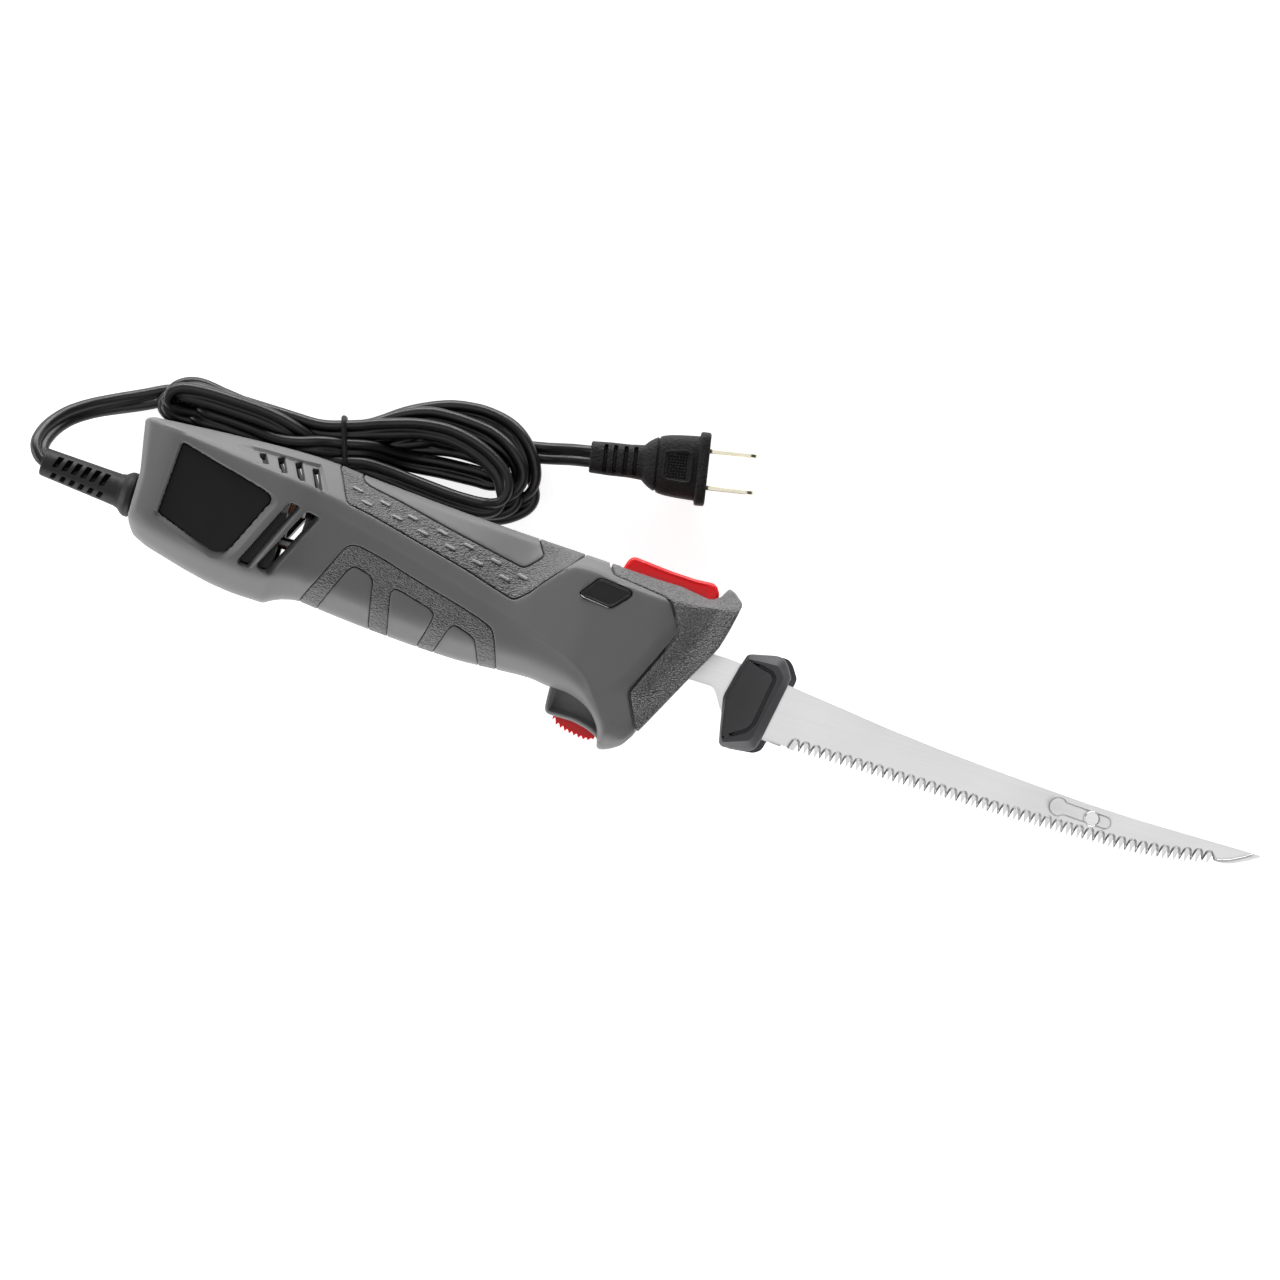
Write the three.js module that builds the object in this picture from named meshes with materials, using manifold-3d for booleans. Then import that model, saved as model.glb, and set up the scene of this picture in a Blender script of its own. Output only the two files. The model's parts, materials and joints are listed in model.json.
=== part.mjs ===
// Electric fillet knife lying on its left side, millimetres, +Z up.
// Working frame while drawing: u runs from the cord end to the blade tip, v runs towards the top of the knife,
// w runs from the left half (down) to the right half (up), with the mould's parting plane at w = 0.
import * as THREE from "three";
import { mergeVertices } from "three/addons/utils/BufferGeometryUtils.js";
import Module from "manifold-3d";

const wasm = await Module();
wasm.setup();

// ---------------------------------------------------------------- driving dimensions
const K = 0.9; // mm per unit of the side-view outlines below
const HALF = 25 * K; // half thickness of the handle at its flats
const WALL = 3.0; // handle wall
const GRIP = 1.3; // soft grip thickness
const GAP = 0.3; // play between pieces that touch
const MOTOR_V = -5.5; // height of the motor axis
const CRANK = 3.0; // eccentric throw: each blade strokes twice this
const PHASE = 1.035; // the blades are photographed this far from mid-stroke
const GEAR_M = 0.95; // module of worm and wheel
const GEAR_N = 18; // wheel teeth
const WORM_N = 2; // worm starts
const WORM_R = 4.0; // worm pitch radius
const GEAR_U = 90; // wheel centre
const BACKLASH = 0.22;
const BLADE_T = 1.1; // blade thickness
const BLADE_W = 0.12; // half the gap between the blades
const CARRIER_IN = 5.2; // inner face of the carrier plates
const CARRIER_OUT = 8.2;
const TRIGGER_TRAVEL = 3.0;
const RELEASE_TRAVEL = 2.5;
const LOCK_TRAVEL = 3.0;
const CORD_W = 7.6; // flat twin cord
const CORD_T = 3.8;
const HANK_H = 16; // height of the folded cord on the table
const PIN_GAP = 12.7; // spacing of the plug pins
const CENTRE_U = 186.385; // middle of the outline that goes to the origin
const CENTRE_V = -7.395;

const WHEEL_R = (GEAR_M * GEAR_N) / 2;
const GEAR_V = MOTOR_V + WORM_R + WHEEL_R + 0.15;

// ---------------------------------------------------------------- drawing helpers
const S = (list) => list.map(([a, b]) => [a * K, b * K]);

function solid(geometry) {
  const g = geometry.clone();
  for (const name of Object.keys(g.attributes))
    if (name !== "position") g.deleteAttribute(name);
  const m = mergeVertices(g, 1e-4);
  const make = (flip) => {
    const tri = new Uint32Array(m.index.array);
    if (flip)
      for (let i = 0; i < tri.length; i += 3)
        [tri[i + 1], tri[i + 2]] = [tri[i + 2], tri[i + 1]];
    return new wasm.Manifold(
      new wasm.Mesh({
        numProp: 3,
        vertProperties: new Float32Array(m.attributes.position.array),
        triVerts: tri,
      }),
    );
  };
  const made = make(false);
  return made.volume() < 0 ? make(true) : made;
}

const shapeOf = (list) =>
  new THREE.Shape(list.map(([x, y]) => new THREE.Vector2(x, y)));
function extrude(list, depth) {
  return new THREE.ExtrudeGeometry(shapeOf(list), {
    depth,
    bevelEnabled: false,
    curveSegments: 6,
  });
}
// Outline in (u, v), carried from w0 to w1.
const prism = (list, w0, w1) =>
  solid(extrude(list, w1 - w0).translate(0, 0, w0));
// Outline in (v, w), carried from u0 to u1.
const prismU = (list, u0, u1) =>
  solid(
    extrude(list, u1 - u0)
      .translate(0, 0, u0)
      .applyMatrix4(
        new THREE.Matrix4().set(0, 0, 1, 0, 1, 0, 0, 0, 0, 1, 0, 0, 0, 0, 0, 1),
      ),
  );
const box = (u0, u1, v0, v1, w0, w1) =>
  solid(
    new THREE.BoxGeometry(u1 - u0, v1 - v0, w1 - w0).translate(
      (u0 + u1) / 2,
      (v0 + v1) / 2,
      (w0 + w1) / 2,
    ),
  );
const cyl = (r, length, seg) =>
  new THREE.CylinderGeometry(r, r, length, seg, 1);
const cylU = (u0, u1, r, v, w, seg = 20) =>
  solid(
    cyl(r, u1 - u0, seg)
      .rotateZ(-Math.PI / 2)
      .translate((u0 + u1) / 2, v, w),
  );
const cylV = (v0, v1, r, u, w, seg = 20) =>
  solid(cyl(r, v1 - v0, seg).translate(u, (v0 + v1) / 2, w));
const cylW = (w0, w1, r, u, v, seg = 20) =>
  solid(
    cyl(r, w1 - w0, seg)
      .rotateX(Math.PI / 2)
      .translate(u, v, (w0 + w1) / 2),
  );
const sum = (list) => list.reduce((a, b) => a.add(b));
const cut = (a, list) => list.reduce((x, b) => x.subtract(b), a);
// Drops the specks a cut can leave, and merges facets that lie in one plane.
const tidy = (a) =>
  a
    .simplify(0.04)
    .decompose()
    .reduce((x, b) => (b.volume() > x.volume() ? b : x));

// Outline moved outwards by d along its own corners.
function grow(list, d) {
  let area = 0;
  list.forEach(([x, y], i) => {
    const [a, b] = list[(i + 1) % list.length];
    area += x * b - a * y;
  });
  const sign = area > 0 ? 1 : -1;
  return list.map(([x, y], i) => {
    const p = list[(i + list.length - 1) % list.length],
      q = list[(i + 1) % list.length];
    const n1 = [y - p[1], p[0] - x],
      n2 = [q[1] - y, x - q[0]];
    const l1 = Math.hypot(...n1),
      l2 = Math.hypot(...n2);
    const a = [n1[0] / l1, n1[1] / l1],
      b = [n2[0] / l2, n2[1] / l2];
    const k = (sign * d) / Math.max(0.35, 1 + a[0] * b[0] + a[1] * b[1]);
    return [x + (a[0] + b[0]) * k, y + (a[1] + b[1]) * k];
  });
}

// Monotone cubic through [u, value] pairs of the side-view drawing.
function line(list) {
  const x = list.map((p) => p[0] * K),
    y = list.map((p) => p[1] * K),
    n = x.length;
  const h = [],
    s = [],
    m = new Array(n).fill(0);
  for (let i = 0; i < n - 1; i++) {
    h.push(x[i + 1] - x[i]);
    s.push((y[i + 1] - y[i]) / h[i]);
  }
  m[0] = s[0];
  m[n - 1] = s[n - 2];
  for (let i = 1; i < n - 1; i++)
    if (s[i - 1] * s[i] > 0) {
      const w1 = 2 * h[i] + h[i - 1],
        w2 = h[i] + 2 * h[i - 1];
      m[i] = (w1 + w2) / (w1 / s[i - 1] + w2 / s[i]);
    }
  return (u) => {
    if (u <= x[0]) return y[0];
    if (u >= x[n - 1]) return y[n - 1];
    let i = 0;
    while (u > x[i + 1]) i++;
    const t = (u - x[i]) / h[i],
      t2 = t * t,
      t3 = t2 * t;
    return (
      (2 * t3 - 3 * t2 + 1) * y[i] +
      (t3 - 2 * t2 + t) * h[i] * m[i] +
      (3 * t2 - 2 * t3) * y[i + 1] +
      (t3 - t2) * h[i] * m[i + 1]
    );
  };
}

function mesh(rings) {
  const n = rings[0].length,
    pos = [],
    idx = [];
  rings.forEach((r) => r.forEach((p) => pos.push(...p)));
  for (let i = 0; i < rings.length - 1; i++)
    for (let j = 0; j < n; j++) {
      const a = i * n + j,
        b = i * n + ((j + 1) % n),
        c = a + n,
        d = b + n;
      idx.push(a, b, d, a, d, c);
    }
  for (const [row, flip] of [
    [0, false],
    [rings.length - 1, true],
  ]) {
    const mid = [0, 1, 2].map(
      (k) => rings[row].reduce((t, p) => t + p[k], 0) / n,
    );
    const at = pos.length / 3;
    pos.push(...mid);
    for (let j = 0; j < n; j++) {
      const a = row * n + j,
        b = row * n + ((j + 1) % n);
      if (flip) idx.push(at, a, b);
      else idx.push(at, b, a);
    }
  }
  return solid(
    new THREE.BufferGeometry()
      .setAttribute("position", new THREE.Float32BufferAttribute(pos, 3))
      .setIndex(idx),
  );
}

class Path extends THREE.Curve {
  constructor(fn) {
    super();
    this.fn = fn;
  }
  getPoint(t) {
    return new THREE.Vector3(...this.fn(t));
  }
}
function ring(rx, ry, n, turn = 0) {
  return Array.from({ length: n }, (_, i) => {
    const a = (2 * Math.PI * i) / n + turn;
    return [rx * Math.cos(a), ry * Math.sin(a)];
  });
}
function tube(list, path, steps) {
  return solid(
    new THREE.ExtrudeGeometry(shapeOf(list), {
      steps,
      bevelEnabled: false,
      extrudePath: path,
    }),
  );
}
const spline = (list) =>
  new THREE.CatmullRomCurve3(
    list.map((p) => new THREE.Vector3(...p)),
    false,
    "centripetal",
  );
// Coil spring along v.
const coil = (u, w, v0, v1, r, wire, turns) =>
  tube(
    ring(wire, wire, 5),
    new Path((t) => [
      u + r * Math.cos(2 * Math.PI * turns * t),
      v0 + wire + (v1 - v0 - 2 * wire) * t,
      w + r * Math.sin(2 * Math.PI * turns * t),
    ]),
    Math.round(turns * 10),
  );

// ---------------------------------------------------------------- handle surface
const TOP = line([
  [-8, 24.7], [-2, 25], [10, 26], [30, 27.6], [50, 28.8], [62, 29.2], [72, 28.9], [82, 28],
  [100, 26.8], [120, 25.7], [140, 24.9], [160, 24.4], [184, 23.8], [205, 23.3], [221, 23.4],
  [225, 24.7], [228.5, 27.9], [240, 27.9],
]);
const BOTTOM = line([
  [-8, -21], [3, -19.5], [9, -22], [20, -25], [30, -27.4], [40, -29.3], [50, -30.2], [59.5, -30.3],
  [63, -28.5], [67, -26.8], [73, -25.6], [80, -26.2], [100, -27.8], [120, -28.8], [135, -29.1],
  [153, -28], [165, -27.4], [174, -28.3], [180, -28.5], [186, -30], [190, -32], [193, -34.6],
  [196, -39], [198, -45.6], [200, -46], [240, -46],
]);
const SHOULDER_V = line([
  [-8, 24.3], [-2, 24.4], [15, 22.8], [40, 19.8], [72, 16.5], [85, 14.4], [110, 9.4], [130, 4.9],
  [148, 0.2], [151, 0], [156, 3.8], [160, 9], [165, 14.6], [170, 18.6], [176, 19], [184, 18],
  [205, 16.6], [216, 17.5], [226, 20], [240, 20.5],
]);
const SHOULDER_W = line([
  [-8, 19], [-2, 20.5], [4, 22.8], [12, 25], [55, 25], [62, 24.3], [72, 22.4], [85, 20.8], [110, 19.6],
  [140, 19.8], [150, 20.2], [160, 21.6], [170, 23.4], [180, 24.9], [186, 25], [204, 25], [212, 24.2],
  [222, 23], [229, 24], [240, 24],
]);
const TOP_W = line([
  [-8, 15], [-2, 17], [10, 13.5], [30, 9.5], [50, 7.8], [72, 7.2], [110, 7.2], [148, 7.6], [160, 8.6],
  [170, 10], [184, 11], [205, 12], [226, 13], [240, 13],
]);
const BELT_V = line([
  [-8, 8], [30, 9], [50, 10], [62, 10.4], [80, 8.6], [100, 4.6], [120, 0], [140, -5], [160, -10],
  [175, -14.5], [185, -20], [192, -28], [198, -34], [205, -34], [212, -28], [222, -16], [240, -8],
]);
const BELT_W = line([
  [-8, 19.5], [-2, 21], [4, 23.2], [12, 25], [55, 25], [62, 24.6], [72, 23], [85, 21.7], [110, 20.5],
  [140, 20.8], [150, 21.2], [160, 22.2], [170, 23.8], [180, 25], [206, 25], [214, 24.4], [222, 23.4],
  [229, 24], [240, 24],
]);
const LOW_V = line([
  [-8, -12], [3, -12.5], [9, -14], [20, -16.5], [40, -18.5], [55, -19.5], [62, -19], [72, -17], [85, -17.5],
  [110, -19], [140, -20], [160, -20.5], [175, -22.5], [184, -25.5], [190, -30.5], [196, -36.5], [199, -40],
  [240, -40],
]);
const LOW_W = line([
  [-8, 19], [-2, 21], [4, 23.2], [12, 25], [52, 25], [60, 23.8], [66, 21.5], [72, 19.8], [85, 18.6],
  [110, 17.6], [140, 18], [160, 19.6], [175, 22], [190, 23.4], [206, 23], [240, 22],
]);
const BOTTOM_W = line([
  [-8, 12], [4, 13], [12, 14], [55, 13.5], [66, 11], [85, 9.5], [110, 9], [140, 9.5], [160, 11.5],
  [175, 14], [186, 16], [198, 17], [240, 16],
]);
const STATIONS = [
  -6, -2, 4, 12, 30, 50, 59.5, 63, 67, 73, 85, 100, 115, 130, 142, 151, 156, 163, 170, 178, 186, 190, 193,
  196, 198, 206, 216, 222, 225, 228.5, 240,
].map((u) => u * K);
const INNER_STATIONS = [
  -6, 4, 12, 30, 55, 67, 85, 115, 142, 151, 163, 178, 190, 206, 222, 240,
].map((u) => u * K);

// Right-hand half of the section at u, top to bottom, as [v, w], moved in by inset.
function halfSection(u, inset, round) {
  const c = [
    [TOP(u), 0],
    [TOP(u) - 0.5, TOP_W(u)],
    [SHOULDER_V(u), SHOULDER_W(u)],
    [BELT_V(u), BELT_W(u)],
    [LOW_V(u), LOW_W(u)],
    [BOTTOM(u) + 0.4, BOTTOM_W(u)],
    [BOTTOM(u), 0],
  ];
  const out = (a, b) => {
    const d = [b[0] - a[0], b[1] - a[1]],
      l = Math.hypot(...d);
    return [d[1] / l, -d[0] / l];
  };
  const p = c.map(([v, w], i) => {
    if (i === 0) return [v - inset, 0];
    if (i === 6) return [v + inset, 0];
    const a = out(c[i - 1], c[i]),
      b = out(c[i], c[i + 1]);
    const k = inset / (1 + a[0] * b[0] + a[1] * b[1]);
    return [v - (a[0] + b[0]) * k, w - (a[1] + b[1]) * k];
  });
  if (!round) return p;
  const back = [0, 2.2, 1.6, 3, 5.5, 4, 0],
    list = [p[0]];
  for (let i = 1; i < 6; i++) {
    const [a, b, e] = [p[i - 1], p[i], p[i + 1]];
    const la = Math.hypot(b[0] - a[0], b[1] - a[1]),
      lb = Math.hypot(e[0] - b[0], e[1] - b[1]);
    const ta = Math.min(back[i], 0.42 * la) / la,
      tb = Math.min(back[i], 0.42 * lb) / lb;
    const s = [b[0] + (a[0] - b[0]) * ta, b[1] + (a[1] - b[1]) * ta];
    const f = [b[0] + (e[0] - b[0]) * tb, b[1] + (e[1] - b[1]) * tb];
    list.push(s);
    if (i === 1 || i > 3)
      list.push([
        (s[0] + f[0]) / 4 + b[0] / 2,
        (s[1] + f[1]) / 4 + b[1] / 2,
      ]);
    list.push(f);
  }
  list.push(p[6]);
  return list;
}
function loft(inset, stations = STATIONS, round = true) {
  return mesh(
    stations.map((u) => {
      const right = halfSection(u, inset, round);
      const left = right
        .slice(1, -1)
        .reverse()
        .map(([v, w]) => [v, -w]);
      return [...right, ...left].map(([v, w]) => [u, v, w]);
    }),
  );
}

// ---------------------------------------------------------------- side-view outlines
const REAR = [
  [-2, 25], [-0.5, 17], [1, 10], [2.5, 3], [2.6, -8], [2.8, -14], [4, -17], [6.3, -20.2], [9.5, -22.2],
];
const FRONT = [
  [198, -45.8], [203, -43.5], [206.5, -41], [209.6, -35.9], [210.6, -34.6], [213, -30], [218, -20],
  [224, -8], [229.3, 2], [230.7, 5], [232.5, 12], [234, 20], [234.3, 23.6], [230.6, 26.6], [228.5, 28.2],
];
const SILHOUETTE = S([
  [-2, 40], ...REAR, [9.5, -60], [197.6, -60], ...FRONT, [228.5, 40],
]);
const CAVITY = S([
  [1.8, 40], [1.8, 25], [3.2, 17], [4.7, 10], [6.2, 3], [6.3, -8], [6.5, -14], [9, -17.5], [12, -60],
  [190, -60], [190, -36], [203, -36], [206.3, -33.5], [208.8, -29], [214, -19], [220, -7], [225.3, 3],
  [226.6, 5.8], [228.4, 12.5], [229.6, 20], [229.6, 40],
]);
const POD = S([
  [173.6, -22], [174, -31], [174.4, -36], [175.2, -38], [176.6, -38.6], [186, -38.8], [192, -40.3],
  [196.3, -42], [198, -44.5], [204, -40], [204, -22],
]);
const TRIGGER_HOLE = S([
  [177.6, -50], [177.6, -22], [196.8, -22], [196.8, -50],
]);
const UPPER_GRIP = S([
  [73.5, 36], [73.5, 28.2], [76, 24], [79, 18.5], [80.5, 16], [82, 15.3], [90, 14], [100, 11.8], [110, 9.5],
  [120, 7.3], [130, 5], [140, 2.2], [149, -0.3], [150.5, -0.6], [152, -0.2], [156, 3.5], [160, 9],
  [165, 15], [172, 23.5], [172, 36],
]);
const UPPER_WINDOW = S([
  [82.5, 36], [82.5, 27.8], [84, 25.5], [86.5, 24.3], [100, 22], [120, 17.8], [140, 14], [149, 12.3],
  [151, 12.1], [152.5, 13], [156.8, 17.8], [157, 19], [153.5, 24.5], [153.5, 36],
]);
const LOWER_GRIP = S([
  [73.5, -36], [73.5, -25.3], [78, -16], [82, -7], [85, -0.5], [87, 1], [90, 1.3], [100, -0.7], [110, -3.5],
  [120, -6], [130, -8.3], [140, -11], [145, -12.7], [147, -14], [149, -18], [152.3, -27.5], [152.3, -36],
]);
const LOWER_WINDOWS = [
  [[80.5, -36], [80.5, -26.3], [88, -9], [89.5, -7], [91, -6.5], [97, -8], [98.5, -10], [101.5, -27.7], [101.5, -36]],
  [[109, -36], [109, -28], [106, -11.5], [107.5, -10], [110, -10.3], [122, -13.3], [124.3, -15], [123, -22], [121, -28.7], [121, -36]],
  [[127.5, -36], [127.5, -29], [131, -18.5], [132.3, -16.7], [133.5, -16.5], [139.5, -18.3], [141.5, -19.5], [143.5, -24], [145.5, -29], [145.5, -36]],
].map(S);
const NOSE_GRIP = S([
  [182, 36], [182, 24], [183.5, 21.5], [185, 19.7], [190, 19.3], [200, 18.2], [206, 17.5], [208.5, 16],
  [210, 13.5], [213, 9], [214.3, 6], [213.5, 3], [210, -5], [206, -14], [203.5, -20], [203.5, -22],
  [205, -25], [207, -29], [210, -34.5], [214, -40], [240, -40], [240, 36],
]);
const BADGE = S([
  [14.8, 19], [49, 11], [52, 9.8], [53.2, 7.8], [44, -13], [42, -16], [38, -17.3], [13.6, -9],
]);
const SIDE_VENTS = [
  [[59.6, 8.4], [61, 9.5], [63.6, 9], [52.3, -18], [51, -19], [48.6, -18.8], [47.6, -17.4]],
  [[66.6, 7.2], [68, 8], [71, 7.3], [60, -17.8], [58.8, -18.8], [55.8, -18], [55, -16.8]],
].map(S);
const TOP_VENTS = [
  [[42.8, 24.4], [44.6, 25], [47.2, 21.4], [46.2, 20.8]],
  [[50, 24.6], [52, 25.2], [55, 20.4], [53.8, 19.8]],
  [[56.8, 24.6], [59.6, 25.4], [62.6, 19.4], [61.4, 18.8]],
  [[63.6, 24.4], [66.4, 25], [69.4, 18.4], [68, 18]],
].map(S);
const LOCK = S([
  [174.4, 9], [176, 8.3], [186.4, 7.2], [188, 8], [193.5, 14.2], [192.6, 15.7], [181.6, 16.8], [179.8, 16.2],
]);
const RELEASE = S([
  [187, 20], [187, 23], [188, 26.5], [189, 28], [190.5, 28.6], [195, 28.3], [205, 27.5], [215, 27.3],
  [221.5, 27.9], [223.4, 27], [225, 24.5], [225, 20],
]);
const GUARD = S([
  [237.8, -12], [240.3, 0], [242, 5.8], [243.5, 6.5], [253, 8.8], [255.5, 8.6], [257.5, 7], [260.5, 2.5],
  [260.3, 0.5], [256.3, -24.5], [255.5, -27.5], [253, -29.3], [243, -30.5], [241.5, -29.5], [240, -23],
]);
const SCREWS = [
  [7.5, 17], [18, -18], [66, 18.5], [124, -17.5], [150, 9], [184, -24],
];

// ---------------------------------------------------------------- handle
const outer = loft(0).intersect(prism(SILHOUETTE, -40, 40));
const underGrip = loft(GRIP);
const underPocket = loft(GRIP + GAP + 0.1);
const cavity = loft(WALL, INNER_STATIONS, false).intersect(prism(CAVITY, -40, 40));
const pod = prism(POD, -11 * K, 11 * K);
const triggerHole = prism(TRIGGER_HOLE, -6.6, 6.6);
const releaseHole = box(186.4 * K, 225.6 * K, 14, 30, -6.0, 6.0);
const bladeHole = box(188, 215, -9.4, 3.2, -8.7, 8.7);
const cordHole = cylU(-6, 12, 4.7, -4.2 * K, 0, 24);

function gripShape(outline, windows, w0, w1) {
  let s = prism(outline, w0, w1);
  for (const w of windows) s = s.subtract(prism(w, w0 - 1, w1 + 1));
  return s;
}
function gripPocket(outline, windows, w0, w1) {
  let s = prism(grow(outline, GAP), w0, w1);
  for (const w of windows) s = s.subtract(prism(grow(w, -GAP), w0 - 1, w1 + 1));
  return s;
}
const GRIPS = [
  ["upper_grip", UPPER_GRIP, [UPPER_WINDOW]],
  ["lower_grip", LOWER_GRIP, LOWER_WINDOWS],
  ["nose_grip", NOSE_GRIP, []],
];

function housing(side) {
  const w = (a, b) => (side > 0 ? [a, b] : [-b, -a]);
  const half = box(-20, 240, -60, 40, ...w(0.15, 40));
  let h = outer.add(pod).subtract(cavity);
  // screw bosses and the bosses of the wheel's axle
  const boss = SCREWS.map(([u, v]) =>
    cylW(...w(0.15, 22), 4.5, u, v, 10).intersect(underGrip),
  );
  const axleBoss = cylW(...w(10.2, 22), 4.5, GEAR_U, GEAR_V, 10).intersect(underGrip);
  h = sum([h, ...boss, axleBoss]).intersect(half);
  const holes = [
    triggerHole,
    releaseHole,
    bladeHole,
    cordHole,
    prism(grow(LOCK, 0.4), ...w(8, 40)),
    cylW(...w(9, 15.5), 2.0, GEAR_U, GEAR_V, 12),
    ...SIDE_VENTS.map((p) => prism(p, ...w(12, 40))),
    ...TOP_VENTS.map((p) => prism(p, ...w(3, 40))),
    prism(grow(BADGE, GAP), ...w(HALF - 1.5, 40)),
    ...SCREWS.map(([u, v]) => cylW(...w(-1, 9), 1.7, u, v, 8)),
  ];
  if (side < 0)
    for (const [u, v] of SCREWS) holes.push(cylW(-40, -8, 2.6, u, v, 12));
  for (const [, outline, windows] of GRIPS)
    holes.push(gripPocket(outline, windows, ...w(-1, 40)).subtract(underPocket));
  return tidy(cut(h, holes));
}

const made = [];
const add = (name, body, material) => made.push([name, body, material]);
const plastic = { color: 0x5f6062, roughness: 0.5, metalness: 0 };
const rubber = { color: 0x55575a, roughness: 0.75, metalness: 0 };
const black = { color: 0x141416, roughness: 0.45, metalness: 0 };
const red = { color: 0xb81c22, roughness: 0.4, metalness: 0 };
const steel = { color: 0xc9ccd0, roughness: 0.28, metalness: 1 };
const dark = { color: 0x4a4c50, roughness: 0.5, metalness: 1 };
const copper = { color: 0xa8632f, roughness: 0.4, metalness: 1 };
const brass = { color: 0xc9b26a, roughness: 0.35, metalness: 1 };
const nylon = { color: 0xe6e2d4, roughness: 0.55, metalness: 0 };
const guardPlastic = { color: 0x3a3b3e, roughness: 0.55, metalness: 0 };

for (const [tag, side] of [
  ["right", 1],
  ["left", -1],
]) {
  const shell = housing(side);
  add(`housing_${tag}`, shell, plastic);
  const w = (a, b) => (side > 0 ? [a, b] : [-b, -a]);
  for (const [name, outline, windows] of GRIPS) {
    let g = gripShape(outline, windows, ...w(0.15, 40))
      .intersect(outer)
      .subtract(underGrip);
    g = cut(g, [
      releaseHole,
      bladeHole,
      ...SCREWS.map(([u, v]) => cylW(-40, -8, 2.8, u, v, 14)),
    ]);
    add(`${name}_${tag}`, tidy(g), rubber);
  }
  add(`badge_${tag}`, prism(BADGE, ...w(HALF - 1.2, HALF - 0.4)), black);
}

// ---------------------------------------------------------------- controls
const ribbed = [];
for (let i = 0; i <= 9; i++) {
  const t = i / 9,
    u = 178.4 + 17.2 * t;
  const arc = -39 - 4.4 * Math.sin(Math.PI * (0.08 + 0.74 * t));
  ribbed.push([u, arc]);
  if (i < 9) ribbed.push([u + 0.5, arc + 1.0]);
}
add(
  "trigger",
  sum([
    prism(S([[178.2, -30], ...ribbed, [196, -40], [196, -30]]), -6, 6),
    box(161, 166, -28, -24.8, -3, 3),
  ]),
  red,
);
add("trigger_spring", coil(171.5, 0, -26.6, -21.9, 2.2, 0.35, 3), steel);
add("switch_body", box(152, 176, -21.5, -15.4, -8, 8), black);
add(
  "release_bar",
  sum([
    prism(RELEASE, -5.5, 5.5),
    box(172, 181, 6.9, 20, -9.2, 9.2)
      .subtract(box(171, 182, 10, 21, -12, -4.5))
      .subtract(box(171, 182, 10, 21, 4.5, 12)),
  ]),
  red,
);
add("release_spring", coil(193, 0, 9.4, 17.7, 2.6, 0.4, 4), steel);
add(
  "lock_bolt",
  sum([
    prism(LOCK, HALF - 6, HALF + 0.2),
    prism(LOCK, LOCK_TRAVEL - HALF, LOCK_TRAVEL - HALF + 5),
    cylW(-16, 18, 3, 184 * K, 12 * K, 14),
  ]),
  black,
);

// ---------------------------------------------------------------- motor
const M = MOTOR_V;
const octagon = (a, b, c) => [
  [a, b - c], [a - c, b], [c - a, b], [-a, b - c], [-a, c - b], [c - a, -b], [a - c, -b], [a, c - b],
];
const at = (list) => list.map(([v, w]) => [v + M, w]);
add(
  "field_stack",
  cut(prismU(at(octagon(15, 16, 5)), 28, 54), [
    cylU(20, 60, 11, M, 0, 28),
    ...[1, -1].flatMap((s) => [
      box(20, 60, M + s * 11.8 - 1.9, M + s * 11.8 + 1.9, 6.2, 10.8),
      box(20, 60, M + s * 11.8 - 1.9, M + s * 11.8 + 1.9, -10.8, -6.2),
    ]),
  ]),
  dark,
);
for (const [name, s] of [
  ["field_coil_upper", 1],
  ["field_coil_lower", -1],
])
  add(
    name,
    box(23.5, 58.5, M + s * 11.8 - 1.6, M + s * 11.8 + 1.6, -10.5, 10.5).subtract(
      box(27.6, 54.4, M + s * 11.8 - 3, M + s * 11.8 + 3, -6.5, 6.5),
    ),
    copper,
  );
const slots = [];
for (let i = 0; i < 9; i++) {
  const a0 = (2 * Math.PI * i) / 9;
  for (const [da, r] of [
    [-0.28, 10.2], [-0.14, 10.3], [0.0, 10.3], [0.14, 10.3], [0.28, 10.2], [0.33, 7.6],
  ])
    slots.push([M + r * Math.cos(a0 + da), r * Math.sin(a0 + da)]);
}
add("armature_core", prismU(slots, 29, 53).subtract(cylU(20, 60, 2.4, M, 0, 16)), dark);
add("armature_shaft", cylU(8, 105, 2.1, M, 0, 16), steel);
const tubeU = (u0, u1, r, bore, seg) =>
  cylU(u0, u1, r, M, 0, seg).subtract(cylU(u0 - 1, u1 + 1, bore, M, 0, seg));
add("commutator", tubeU(14, 22.6, 7.2, 2.4, 24), copper);
const fanBlades = [];
for (let i = 0; i < 9; i++)
  fanBlades.push(
    solid(
      new THREE.BoxGeometry(4.4, 8.8, 0.9)
        .translate(2.0, 8.6, 0)
        .rotateX((2 * Math.PI * i) / 9)
        .translate(62, M, 0),
    ),
  );
add("fan", sum([tubeU(60.2, 62, 13.2, 2.4, 27), tubeU(60.2, 66.4, 5, 2.4, 18), ...fanBlades]), nylon);
const brushBox = (s, a, b, c, d, e) =>
  s > 0 ? box(a, b, M - c, M + c, d, e) : box(a, b, M - c, M + c, -e, -d);
add(
  "rear_bracket",
  cut(
    sum([
      box(8.4, 11.6, M - 9, M + 13.5, -12, 12),
      ...[1, -1].map((s) => brushBox(s, 11, 22.2, 4.4, 8.6, 13)),
    ]),
    [
      cylU(0, 20, 5.4, M, 0, 20),
      ...[1, -1].map((s) => brushBox(s, 15.3, 20.9, 2.9, 7, 15)),
    ],
  ),
  nylon,
);
add("bearing_rear", tubeU(8.4, 11.6, 5.1, 2.4, 20), brass);
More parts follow.
